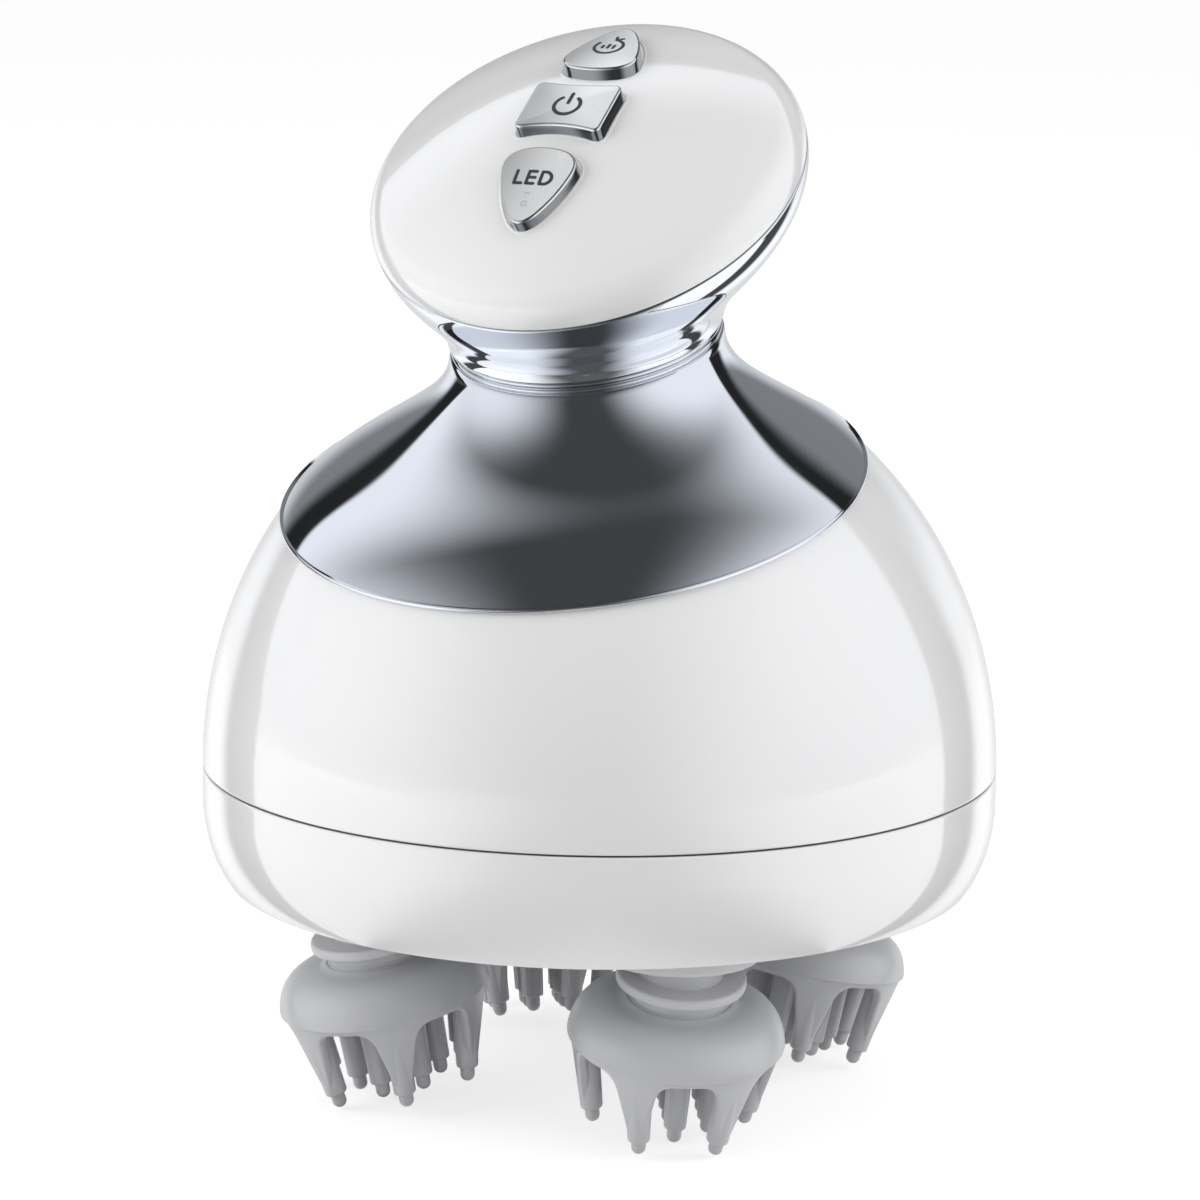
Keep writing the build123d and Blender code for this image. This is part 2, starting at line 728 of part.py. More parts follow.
# ---------------------------------------------------------------- write every node
nodes = {
    "upper_shell": make_upper_shell(),
    "lower_shell": make_lower_shell(),
    "seam_gasket": gasket_ring(running_gap),
    "bottom_plate": make_bottom_plate(),
    "neck_skirt": make_neck_skirt(),
    "neck_ring": make_neck_ring(),
    "knob_bowl": make_knob_bowl(),
    "knob_cap": make_knob_cap(),
    "key_board": make_key_board(),
    "tact_switches": make_tact_switches(),
    "sun_gear": make_sun_gear(),
    "drive_shaft": make_drive_shaft(),
    "drive_frame": make_drive_frame(),
    "gearhead": make_gearhead(),
    "motor_can": make_motor_can(),
    "battery_tray": make_battery_tray(),
    "battery_cell": make_battery(),
    "main_board": make_main_board(),
    "charging_socket": make_charging_socket(),
    "light_board": make_light_board(),
    "light_chips": make_light_chips(),
    "light_window": make_light_window(),
}
for key_name, (key_outline, key_turn, key_place) in key_row.items():
    nodes[key_name] = make_key(key_outline, key_turn, key_place)
crank_pieces = {
    "crank_gear": make_crank_gear(),
    "crank_pin": make_crank_pin(),
    "claw_hub": tilt_frame * make_hub(),
    "claw": tilt_frame * claw_local,
}
for piece_name, piece in crank_pieces.items():
    for number, placed in enumerate(on_cranks(piece), start=1):
        nodes[f"{piece_name}_{number}"] = placed

os.makedirs("parts", exist_ok=True)
for node_name, shape in nodes.items():
    whole = Compound(children=list(shape)) if isinstance(shape, list) else shape
    export_step(whole, f"parts/{node_name}.step")
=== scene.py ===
import json

import bmesh
import bpy
import numpy as np
from bpy.props import FloatProperty, FloatVectorProperty, IntProperty, PointerProperty
from bpy.types import NodeSocket, Operator, Panel, PropertyGroup
from mathutils import Matrix, Vector


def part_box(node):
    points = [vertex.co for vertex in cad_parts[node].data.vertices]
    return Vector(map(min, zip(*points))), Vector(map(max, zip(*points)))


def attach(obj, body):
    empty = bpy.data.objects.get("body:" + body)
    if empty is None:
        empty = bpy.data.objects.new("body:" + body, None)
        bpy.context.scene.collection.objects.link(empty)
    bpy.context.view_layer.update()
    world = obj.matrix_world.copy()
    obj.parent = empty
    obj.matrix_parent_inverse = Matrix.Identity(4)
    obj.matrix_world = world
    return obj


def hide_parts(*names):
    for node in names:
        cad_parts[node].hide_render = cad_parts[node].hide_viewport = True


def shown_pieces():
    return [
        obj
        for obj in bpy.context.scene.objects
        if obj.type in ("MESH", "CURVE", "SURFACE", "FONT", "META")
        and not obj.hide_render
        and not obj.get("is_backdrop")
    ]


bl_info = {
    "name": "Scalp massager",
    "version": (1, 0, 0),
    "blender": (4, 5, 0),
    "location": "3D View > Sidebar > Massager",
    "description": "Builds the shells, chrome neck, knob, keys and silicone claws of a scalp massager",
    "category": "Object",
}

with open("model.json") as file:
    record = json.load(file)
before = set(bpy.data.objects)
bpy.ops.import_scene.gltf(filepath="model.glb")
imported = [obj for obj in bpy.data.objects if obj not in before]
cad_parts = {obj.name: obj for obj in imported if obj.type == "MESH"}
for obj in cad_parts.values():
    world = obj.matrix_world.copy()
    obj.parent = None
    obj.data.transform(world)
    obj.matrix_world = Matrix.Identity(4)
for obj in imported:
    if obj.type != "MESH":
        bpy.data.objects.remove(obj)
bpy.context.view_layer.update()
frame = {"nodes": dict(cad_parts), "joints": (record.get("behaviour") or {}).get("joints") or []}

MM = 0.001
HAIR = 0.01 * MM          # smallest step that keeps two corners apart
WELD = 2e-7               # points nearer than this are one point
FINE_TURN = 256           # columns round the large turned pieces
SMALL_TURN = 96           # columns round the small turned pieces
SHARP = np.radians(32.0)  # edges bent more than this stay crisp
WHITE = (1.0, 1.0, 1.0, 1.0)
JOINTS = {joint["name"]: joint for joint in frame["joints"]}

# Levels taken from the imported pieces.
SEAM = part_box("seam_gasket")[1].z
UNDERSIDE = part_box("lower_shell")[0].z
BODY_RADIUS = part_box("lower_shell")[1].x
PLATE_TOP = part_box("light_board")[0].z
BOSS_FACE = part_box("bottom_plate")[0].z
BOSS_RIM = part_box("bottom_plate")[1].z
PLATE_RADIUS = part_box("bottom_plate")[1].x
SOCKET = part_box("charging_socket")
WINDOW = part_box("light_window")
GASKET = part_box("seam_gasket")

# How far the control points of the neck's curves stand off their ends, in millimetres, front, then back.
SKIRT_PULLS = ((6.3, 9.9, 10.0), (-6.0, 3.9, 8.0))  # back and up from the lower edge, down from the neck
BOWL_PULLS = ((3.0, 5.5), (10.0, 10.0))             # up from the neck, down from the rim

# The room that the mirror surfaces show: places are parts of a unit direction, levels go from 0 to 1.
GAP_ASIDE = 0.12                       # how far left of the camera the gap between the soft boxes stands
GAP_SIDES = (0.16, 1.0, 0.0, 1.0)      # from the gap's middle to the boxes' full level
GAP_DEPTH = (-0.6, -0.2, 1.0, 0.06)    # level of the gap, behind and in front
BOX_LEAN = (0.25, 0.35)                # how the line where the boxes end leans, with height and with side
BOX_END = (-0.45, -0.41, 0.0, 1.0)     # where the boxes end
STRIP_LEAN = 0.25                      # how the dark strip widens with height
STRIP_END = (-0.78, -0.67, 1.0, 0.0)   # where the dark strip ends
STRIP_LEVEL = 0.02
WALL_DEPTH = (-0.97, -0.86, 0.66, 0.97)  # level of the pale wall behind, far and near
WALL_RISE = (0.05, 0.3, 0.0, 1.0)      # from the pale wall to the darker one over it
WALL_TOP = 0.24

DRIFT = 60.0                           # slow changes of colour and roughness, in waves a metre


# ---------------------------------------------------------------- sizes and colours a user would change
def length(value, note):
    """Property that holds a length, given in millimetres."""
    return FloatProperty(description=note, default=value * MM, unit="LENGTH", subtype="DISTANCE")


def angle(value, note):
    """Property that holds an angle, given in degrees."""
    return FloatProperty(description=note, default=np.radians(value), unit="ROTATION", subtype="ANGLE")


def colour(value, note):
    """Property that holds a colour."""
    return FloatVectorProperty(description=note, default=value, size=3, subtype="COLOR", min=0.0, max=1.0)


class ShellSizes(PropertyGroup):
    dome_rise: length(56.2, "Upright half-axis of the dome's ellipse above the seam")
    wall: length(2.2, "Thickness of both shells")
    belt: length(4.0, "Straight band of the lower shell under the seam")
    corner_run: length(8.3, "Level half-axis of the lower shell's rounded corner")
    corner_drop: length(13.9, "Upright half-axis of the lower shell's rounded corner")
    seam_line: length(0.22, "Open height of the line between the shells")
    edge: length(0.3, "Rounding of the shells' moulded edges")
    ledge_radius: length(44.2, "Inner radius of the ledge the bottom plate rests on")


class BaseSizes(PropertyGroup):
    boss_radius: length(10.2, "Outer radius of the four claw bosses")
    bore_radius: length(6.55, "Radius of the bores the cranks turn in")
    screw_circle: length(42.5, "Distance of the case screws from the axis")
    screw_hole: length(1.7, "Radius of the case screws' holes")
    head_radius: length(2.7, "Radius of the case screws' heads")
    head_height: length(1.1, "Height of the case screws' heads")
    rounding: length(0.45, "Rounding of the bosses' edges")


class NeckSizes(PropertyGroup):
    skirt_height: length(40.5, "Height of the skirt's plane on the axis, above the seam")
    skirt_tilt: angle(15.1, "Lean of the skirt's lower edge to the front")
    skirt_proud: length(0.4, "How far the skirt's edge stands out of the dome")
    skirt_wall: length(1.6, "Thickness of the skirt and the bowl")
    neck_radius: length(17.9, "Radius where the skirt meets the bowl")
    neck_height: length(57.0, "Height of the neck above the seam")
    neck_forward: length(5.3, "How far the neck stands to the front")
    neck_tilt: angle(17.0, "Lean of the neck's ring")
    ring_thick: length(1.6, "Height of the ring between the skirt and the bowl")
    bead: length(0.32, "Rounding of the skirt's rolled edge")


class KnobSizes(PropertyGroup):
    radius: length(28.78, "Radius at the parting line")
    height: length(77.4, "Height of the parting plane's middle above the seam")
    forward: length(5.6, "How far the knob's middle stands to the front")
    tilt: angle(35.5, "Lean of the knob to the front")
    rise: length(10.39, "Height of the cap over the parting plane")
    edge: length(5.0, "Radius of the cap's rounded edge")
    wall: length(1.8, "Thickness of the cap")
    parting: length(0.16, "Open height of the line between the cap and the bowl")


class KeySizes(PropertyGroup):
    land: length(2.7, "Cap left between two keys")
    offset: length(0.8, "Middle key behind the cap's centre")
    proud: length(1.32, "Height of the keys over the cap")
    square_width: length(11.9, "Width of the middle key across the row")
    square_length: length(9.4, "Length of the middle key along the row")
    front_hollow: length(1.0, "Hollow of the middle key's front side")
    back_hollow: length(0.4, "Hollow of the middle key's back side")
    pick_width: length(10.6, "Width of the pick-shaped keys")
    pick_length: length(12.0, "Length of the pick-shaped keys")
    rim: length(0.45, "Width of the raised rim round each opening")
    gap: length(0.2, "Gap round each key")
    bevel: length(0.28, "Rounding of the keys' upper edges")
    crown: length(0.22, "Rise of the keys' faces to the middle")
    depth: length(4.2, "Depth of the keys' skirts under the cap")
    mark: length(0.03, "Height of the printed marks")


class ClawSizes(PropertyGroup):
    rim_radius: length(14.0, "Radius of the claw's cap at its rim")
    rim_drop: length(6.6, "Lean point down to the rim")
    lip: length(0.32, "How far the rim stands out over the legs")
    collar_radius: length(6.6, "Radius of the hub's collar")
    flange_radius: length(8.35, "Radius of the leaning flange over the collar")
    leg_length: length(12.5, "Rim to the finger tips")
    leg_taper: angle(13.0, "Inward lean of the outer legs")
    web: length(1.3, "Thickness of the legs' webs")
    tip_length: length(2.1, "Length of the thin tip of each finger")
    tip_radius: length(0.95, "Radius of the thin tips")
    finger_root: length(1.75, "Radius of the fingers at the cap")
    finger_foot: length(1.45, "Radius of the fingers above the thin tip")
    inner_circle: length(5.4, "Circle of the inner fingers")
    arch_start: length(0.8, "Rim to the top of the arches")
    arch_half: length(3.7, "Half width of an arch at its top")
    arch_spread: FloatProperty(description="How fast the arches widen downwards", default=0.12, min=0.0)
    legs: IntProperty(description="Outer legs of each claw", default=6, min=3)
    first_leg: angle(17.0, "Turn of the first leg from the outward direction")


class Finishes(PropertyGroup):
    white: colour((0.83, 0.83, 0.835), "Glossy white of the shells and the cap")
    satin_white: colour((0.66, 0.665, 0.68), "Bottom plate and its bosses")
    chrome: colour((0.80, 0.825, 0.87), "Plated skirt, neck ring and bowl")
    key_metal: colour((0.93, 0.94, 0.95), "Satin faces of the keys")
    mark: colour((0.035, 0.04, 0.048), "Printed marks on the keys")
    faint: colour((0.36, 0.37, 0.39), "Small lamp signs under the letters")
    silicone: colour((0.52, 0.525, 0.545), "Claws")
    hub: colour((0.62, 0.625, 0.645), "Collars and leaning flanges")
    rubber: colour((0.05, 0.05, 0.055), "Seam gasket")


class Studio(PropertyGroup):
    distance: length(600.0, "Camera to the middle of the seam")
    azimuth: angle(25.0, "Camera's place round the body from the front")
    elevation: angle(13.17, "Camera's height angle")
    roll: angle(-0.65, "Camera's turn about its own line of sight")
    focal: FloatProperty(description="Focal length in pixels of the frame", default=4518.8)
    aim_x: FloatProperty(description="Pixel column of the seam's middle", default=599.5)
    aim_y: FloatProperty(description="Pixel row of the seam's middle", default=759.4)
    frame_pixels: IntProperty(description="Width of the square frame in pixels", default=1200)
    floor_size: length(16000.0, "Side of the floor")


# ---------------------------------------------------------------- surfaces
def circle(count):
    """Cosines and sines of a whole turn, the last exactly the first again."""
    turn = np.linspace(0.0, 2 * np.pi, count + 1)
    c, s = np.cos(turn), np.sin(turn)
    c[-1], s[-1] = c[0], s[0]
    return c, s


def turned(profile, count=SMALL_TURN):
    """Profile of (radius, height) points carried round Z: x and y are the radius times cosine and sine."""
    profile = np.asarray(profile, float)
    c, s = circle(count)
    r, z = profile[:, :1], profile[:, 1:]
    return np.stack([r * c, r * s, np.broadcast_to(z, (len(r), len(c)))], -1)


def bend(a, corner, b, t):
    """Quadratic curve from a to b whose control point is the corner."""
    return a * (1 - t) ** 2 + 2 * corner * t * (1 - t) + b * t ** 2


def eased(corners, steps=6, closed=False):
    """Line through (x, y) or (x, y, ease) corners: a corner with an ease is cut back by it on both sides and
    joined by a quadratic curve whose control point is the corner itself."""
    corners = np.array([(*corner, 0.0)[:3] for corner in corners], float)
    at, ease = corners[:, :2], corners[:, 2]
    before, after = np.roll(at, 1, 0), np.roll(at, -1, 0)
    t = np.linspace(0.0, 1.0, steps + 1)[:, None]
    line = []
    for k, (p, e) in enumerate(zip(at, ease)):
        if e <= 0 or (not closed and k in (0, len(at) - 1)):
            line.append(p[None])
            continue
        a, b = (p + (q - p) / np.linalg.norm(q - p) * e for q in (before[k], after[k]))
        line.append(bend(a, p, b, t))
    if closed:
        line.append(line[0][:1])
    return np.concatenate(line)


def bulged(corners, count):
    """Closed outline through (x, y, ease, sag) corners: each side to the next corner is a parabola that
    swells outwards by its sag, and the corners between are eased by quadratic curves."""
    corners = np.asarray(corners, float)
    at, ease, sag = corners[:, :2], corners[:, 2], corners[:, 3]
    line = np.roll(at, -1, 0) - at
    size = np.linalg.norm(line, axis=1)
    out = np.stack([line[:, 1], -line[:, 0]], 1) / size[:, None]

    def side(k, t):
        t = np.atleast_1d(t)[:, None]
        return at[k] + line[k] * t + out[k] * 4 * sag[k] * t * (1 - t)

    pieces = []
    t = np.linspace(0.0, 1.0, 9)[1:-1, None]
    for k in range(len(at)):
        n = (k + 1) % len(at)
        start, stop = ease[k] / size[k], 1 - ease[n] / size[k]
        pieces.append(side(k, np.linspace(start, stop, count)))
        pieces.append(bend(side(k, stop), at[n], side(n, ease[n] / size[n]), t))
    return np.concatenate(pieces)


def grown(outline, amount):
    """Closed outline moved outwards by an amount along its own normals."""
    along = np.roll(outline, -1, 0) - np.roll(outline, 1, 0)
    normal = np.stack([along[:, 1], -along[:, 0]], 1) / np.linalg.norm(along, axis=1)[:, None]
    return outline + normal * amount


def stacked(outline, rows):
    """Outline carried up a list of (shrink, growth, height) rows: each row is the outline grown along its
    normals and then drawn in towards its middle by the shrink."""
    middle = outline.mean(0)
    grid = []
    for shrink, growth, height in rows:
        ring = middle + (grown(outline, growth) - middle) * (1 - shrink)
        ring = np.concatenate([ring, ring[:1]])
        grid.append(np.concatenate([ring, np.full((len(ring), 1), height)], 1))
    return np.stack(grid)


def prism(outline, low, high):
    """Closed straight form between two heights."""
    return stacked(outline, [(1, 0, low), (0, 0, low), (0, 0, high), (1, 0, high)])


def bezier(points, t):
    """Cubic curve through four control points at the parameters t."""
    p = np.asarray(points, float)
    t = np.asarray(t, float)[:, None]
    return (1 - t) ** 3 * p[0] + 3 * t * (1 - t) ** 2 * p[1] + 3 * t * t * (1 - t) * p[2] + t ** 3 * p[3]


def fan(front, back, rows):
    """Rings whose diameters join the front line to the back line, both cubic curves in the (y, z) plane. A
    row is (parameter, inset, lift): the ring is made smaller by the inset and moved along its own axis by
    the lift."""
    t, inset, lift = np.asarray(rows, float).T
    f, b = bezier(front, t), bezier(back, t)
    half = (b - f) / 2
    radius = np.linalg.norm(half, axis=1)
    along = half / radius[:, None]
    axis = np.stack([-along[:, 1], along[:, 0]], 1)
    middle = (f + b) / 2 + axis * lift[:, None]
    c, s = circle(FINE_TURN)
    reach = (radius - inset)[:, None]
    y, z = (middle[:, [k]] + reach * c * along[:, [k]] for k in (0, 1))
    return np.stack([reach * s, y, z], -1)


def placed(grid, matrix):
    """Grid moved from a piece's own frame into the body's."""
    return grid @ matrix[:3, :3].T + matrix[:3, 3]


def turn_of(first, second, angle, origin=(0.0, 0.0, 0.0)):
    """Frame at a point, turned by an angle that carries one axis towards another."""
    c, s = np.cos(angle), np.sin(angle)
    m = np.eye(4)
    m[first, first] = m[second, second] = c
    m[first, second], m[second, first] = -s, s
    m[:3, 3] = origin
    return m


def leaning(forward, height, tilt):
    """Frame whose Z leans to the front by the tilt and whose X stays level."""
    return turn_of(1, 2, tilt, (0.0, -forward, height))


def frame_along(origin, z, x):
    """Frame at a point with the given Z, its X as near the given direction as a right angle allows."""
    z = np.asarray(z, float) / np.linalg.norm(z)
    x = np.asarray(x, float) - np.dot(x, z) * z
    x /= np.linalg.norm(x)
    m = np.eye(4)
    m[:3, :3] = np.stack([x, np.cross(z, x), z], 1)
    m[:3, 3] = origin
    return m


def quads_of(rows, cols, start=0):
    """Corner numbers of the quads between the points of a grid."""
    index = start + np.arange(rows * cols).reshape(rows, cols)
    return np.stack([index[:-1, :-1], index[:-1, 1:], index[1:, 1:], index[1:, :-1]], -1).reshape(-1, 4)


def make_piece(name, grids, body, slot, replaced=(), looks=None, bands=None, shape=None):
    """Object from point grids: a quad between each four neighbours, points that meet welded into one, every
    closed form's faces turned outwards. Looks name its finishes where they aren't the slot's own, bands give
    the finish of each row of quads, and shape is a last step on the object."""
    start = np.cumsum([0] + [grid[..., 0].size for grid in grids])
    points = np.concatenate([grid.reshape(-1, 3) for grid in grids])
    quads = np.concatenate([quads_of(*grid.shape[:2], first) for grid, first in zip(grids, start)])
    mesh = bpy.data.meshes.new(name)
    mesh.vertices.add(len(points))
    mesh.vertices.foreach_set("co", points.astype(np.float32).ravel())
    mesh.loops.add(quads.size)
    mesh.loops.foreach_set("vertex_index", quads.astype(np.int32).ravel())
    mesh.polygons.add(len(quads))
    mesh.polygons.foreach_set("loop_start", np.arange(0, quads.size, 4, dtype=np.int32))
    if bands is not None:
        across = grids[0].shape[1] - 1
        mesh.polygons.foreach_set("material_index", np.repeat(bands, across).astype(np.int32))
    mesh.update(calc_edges=True)
    tidy(mesh)
    if looks is None:
        looks = [slot]
    for look in looks:
        mesh.materials.append(finish_of(look))
    obj = bpy.data.objects.new(name, mesh)
    bpy.context.scene.collection.objects.link(obj)
    if shape:
        shape(obj)
    smooth(obj.data)
    if body:
        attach(obj, body)
    if replaced:
        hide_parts(*replaced)
    return obj


def tidy(mesh):
    """Welds the seams and poles and turns the faces outwards."""
    work = bmesh.new()
    work.from_mesh(mesh)
    bmesh.ops.remove_doubles(work, verts=work.verts, dist=WELD)
    bmesh.ops.recalc_face_normals(work, faces=work.faces)
    work.to_mesh(mesh)
    work.free()


def smooth(mesh):
    """Smooth shading with crisp edges where two faces bend sharply."""
    mesh.polygons.foreach_set("use_smooth", np.ones(len(mesh.polygons), bool))
    mesh.set_sharp_from_angle(angle=SHARP)
    mesh.update()


def cut(obj, grids):
    """Takes the closed forms out of an object, and keeps only the result."""
    for k, grid in enumerate(grids):
        modifier = obj.modifiers.new("opening", "BOOLEAN")
        modifier.object = make_piece(f"cutter_{k}", [grid], None, None, looks=())
        modifier.solver = "EXACT"
    graph = bpy.context.evaluated_depsgraph_get()
    result = bpy.data.meshes.new_from_object(obj.evaluated_get(graph))
    cutters = [m.object for m in obj.modifiers]
    obj.modifiers.clear()
    obj.data = result
    for cutter in cutters:
        bpy.data.objects.remove(cutter)


def joined(obj, other):
    """Adds another object's mesh to an object's own and removes the other."""
    work = bmesh.new()
    work.from_mesh(obj.data)
    work.from_mesh(other.data)
    work.to_mesh(obj.data)
    work.free()
    bpy.data.objects.remove(other)


# ---------------------------------------------------------------- finishes
def feed(tree, node, inputs):
    """Fills a node's sockets, each with a number, a colour or another node's output."""
    for socket, value in inputs.items():
        if isinstance(value, NodeSocket):
            tree.links.new(value, node.inputs[socket])
        else:
            node.inputs[socket].default_value = value
    return node


def add(tree, kind, inputs=(), **settings):
    """New shader node with its settings and its filled sockets."""
    node = tree.nodes.new(f"ShaderNode{kind}")
    for name, value in settings.items():
        setattr(node, name, value)
    return feed(tree, node, dict(inputs))


def shader(name):
    """Tree and Principled shader of a new material, whose name differs from the frame's slot materials."""
    material = bpy.data.materials.new(f"{name}_look")
    material.use_nodes = True
    return material.node_tree, material.node_tree.nodes["Principled BSDF"]


def finish_of(name):
    """Material of a finish made earlier."""
    return bpy.data.materials[f"{name}_look"]


def object_place(tree):
    """Place of the shaded point in the object's own frame, in metres."""
    return add(tree, "TexCoord").outputs["Object"]


def noise(tree, scale, detail=3.0, stretch=(1.0, 1.0, 1.0)):
    """Noise on Object coordinates; the scale is in grains a metre, stretched along the axes."""
    place = add(tree, "Mapping", {"Vector": object_place(tree), "Scale": stretch}).outputs["Vector"]
    return add(tree, "TexNoise", {"Vector": place, "Scale": scale, "Detail": detail}).outputs["Fac"]


def mapped(tree, value, low, high, start, stop, **settings):
    """The value mapped from the range low to high to the range start to stop."""
    inputs = {"Value": value, "From Min": low, "From Max": high, "To Min": start, "To Max": stop}
    return add(tree, "MapRange", inputs, **settings).outputs["Result"]


def spread(tree, value, start, stop):
    """The middle range of a noise, 0.3 to 0.7, mapped to start and stop."""
    return mapped(tree, value, 0.3, 0.7, start, stop)


def ramp(tree, value, low, high, start, stop):
    """Smooth step from start, where the value is low, to stop, where it is high."""
    return mapped(tree, value, low, high, start, stop, interpolation_type="SMOOTHSTEP")


def mixed(tree, share, low, high):
    """Colour that goes from one colour to another with the share."""
    inputs = {"Factor": share, "A": (*low, 1.0), "B": (*high, 1.0)}
    return add(tree, "Mix", inputs, data_type="RGBA").outputs["Result"]


def bumped(tree, value, height):
    """Normal over a relief whose full rise is the height."""
    return add(tree, "Bump", {"Height": value, "Distance": height, "Strength": 0.5}).outputs["Normal"]


def finish(name, base, rough, metal=0.0, grain=(), contrast=0.02, rough_drift=0.1,
           stretch=(1.0, 1.0, 1.0), **constants):
    """Finish with a slow drift of colour and roughness. Its bump is a fine grain, given as the number of
    grains a metre and their height."""
    tree, bsdf = shader(name)
    colours = [[min(1.0, c * (1 + way * contrast)) for c in base] for way in (-1, 1)]
    roughs = [min(1.0, rough * (1 + way * rough_drift)) for way in (-1, 1)]
    inputs = {"Metallic": metal}
    inputs["Base Color"] = mixed(tree, noise(tree, DRIFT), *colours)
    inputs["Roughness"] = spread(tree, noise(tree, 3 * DRIFT, 4.0, stretch), *roughs)
    if grain:
        count, height = grain
        inputs["Normal"] = bumped(tree, noise(tree, count, 2.0, stretch), height)
    inputs.update((socket.replace("_", " "), value) for socket, value in constants.items())
    feed(tree, bsdf, inputs)


def circuit_green(name):
    """Green board lacquer with lighter tracks in a grid of cells."""
    tree, bsdf = shader(name)
    tracks = add(tree, "TexBrick", {
        "Vector": object_place(tree), "Scale": 420.0, "Mortar Size": 0.03, "Mortar": (0.030, 0.170, 0.070, 1),
        "Color1": (0.010, 0.075, 0.030, 1), "Color2": (0.012, 0.090, 0.036, 1)})
    feed(tree, bsdf, {"Base Color": tracks.outputs["Color"],
                      "Roughness": spread(tree, noise(tree, 300.0), 0.3, 0.4),
                      "Normal": bumped(tree, tracks.outputs["Fac"], 2e-5)})


def satin_face_painted_reflection(name, base):
    """Satin metal of the keys' faces, with a painted reflection: the base colour is greyer to the left and
    paler to the right of each key, standing in for the gradient that the room's light gives a satin face.
    """
    tree, bsdf = shader(name)
    across = add(tree, "SeparateXYZ", {0: object_place(tree)}).outputs["X"]
    # painted reflection: the colour runs from half the metal's colour on the left to its full colour on the
    # right
    share = ramp(tree, across, -6.5 * MM, 3.5 * MM, 0.0, 1.0)
    feed(tree, bsdf, {"Base Color": mixed(tree, share, [0.5 * c for c in base], base),
                      "Roughness": spread(tree, noise(tree, 400.0), 0.22, 0.28),
                      "Normal": bumped(tree, noise(tree, 1400.0, 2.0), 3e-7),
                      "Metallic": 0.35})


def make_finishes(colours):
    """Every finish, named as the slot it belongs to."""
    drawn = {"grain": (4000.0, 4e-6), "stretch": (1.0, 1.0, 0.08)}
    milled = {"grain": (1500.0, 4e-6), "stretch": (1.0, 1.0, 0.05)}
    ink = {"grain": (6000.0, 3e-6)}
    soft = {"Coat_Weight": 0.4, "Coat_Roughness": 0.26, "Sheen_Weight": 0.12, "Sheen_Roughness": 0.5}
    lacquer = {"Coat_Weight": 1.0, "Coat_Roughness": 0.03, "Coat_IOR": 1.9}
    dark_chrome = [0.92 * c for c in colours.chrome]
    dull_metal = [0.8 * c for c in colours.key_metal]
    finish("white_gloss", colours.white, 0.2, grain=(900.0, 2e-6), contrast=0.006, **lacquer)
    finish("white_satin", colours.satin_white, 0.42, grain=(2600.0, 1.2e-6), contrast=0.015)
    finish("mirror_chrome", colours.chrome, 0.045, 1.0, contrast=0.008, rough_drift=0.2)
    finish("dark_metal", dark_chrome, 0.07, 1.0, contrast=0.01)
    # the keys' faces get a painted reflection: greyer to the left, paler to the right
    satin_face_painted_reflection("satin_metal", colours.key_metal)
    finish("polished_edge", dull_metal, 0.09, 1.0, contrast=0.01)
    # painted shade: the keys' walls are the faces' own metal, made dark to stand in for the shade and dark
    # reflections on them
    finish("dark_wall", (0.24, 0.245, 0.255), 0.14, 1.0, contrast=0.25, **milled)
    finish("printed_mark", colours.mark, 0.5, **ink)
    finish("faint_mark", colours.faint, 0.5, **ink)
    finish("grey_silicone", colours.silicone, 0.34, grain=(2400.0, 3e-6), contrast=0.03, **soft)
    finish("hub_plastic", colours.hub, 0.38, grain=(3600.0, 1e-5))
    finish("dark_rubber", colours.rubber, 0.7, grain=(3000.0, 1e-5))
    finish("inner_plastic", (0.42, 0.43, 0.45), 0.5, grain=(2500.0, 1e-5))
    finish("gear_plastic", (0.70, 0.68, 0.62), 0.4, grain=(2500.0, 6e-6))
    finish("steel", (0.56, 0.57, 0.58), 0.28, 1.0, contrast=0.05, **drawn)
    finish("battery_wrap", (0.05, 0.14, 0.36), 0.3, grain=(300.0, 2e-5))
    circuit_green("board_green")
    finish("dark_plastic", (0.03, 0.03, 0.033), 0.45, grain=(3500.0, 6e-6))
    finish("chip_clear", (0.80, 0.62, 0.16), 0.25, contrast=0.05)
    finish("window_clear", (0.86, 0.88, 0.90), 0.32, grain=(2600.0, 2e-5), Transmission_Weight=0.7, IOR=1.5)


# ---------------------------------------------------------------- shells
def ellipse_cut(radius, rise, plane_height, slope, sines):
    """Height angle at which a dome's meridian meets a leaning plane. On a meridian the plane is where
    rise sin(a) - radius slope sin(turn) cos(a) equals its height, which one arcsine solves."""
    across = -radius * slope * sines
    return np.arcsin(plane_height / np.hypot(rise, across)) - np.arctan2(across, rise)


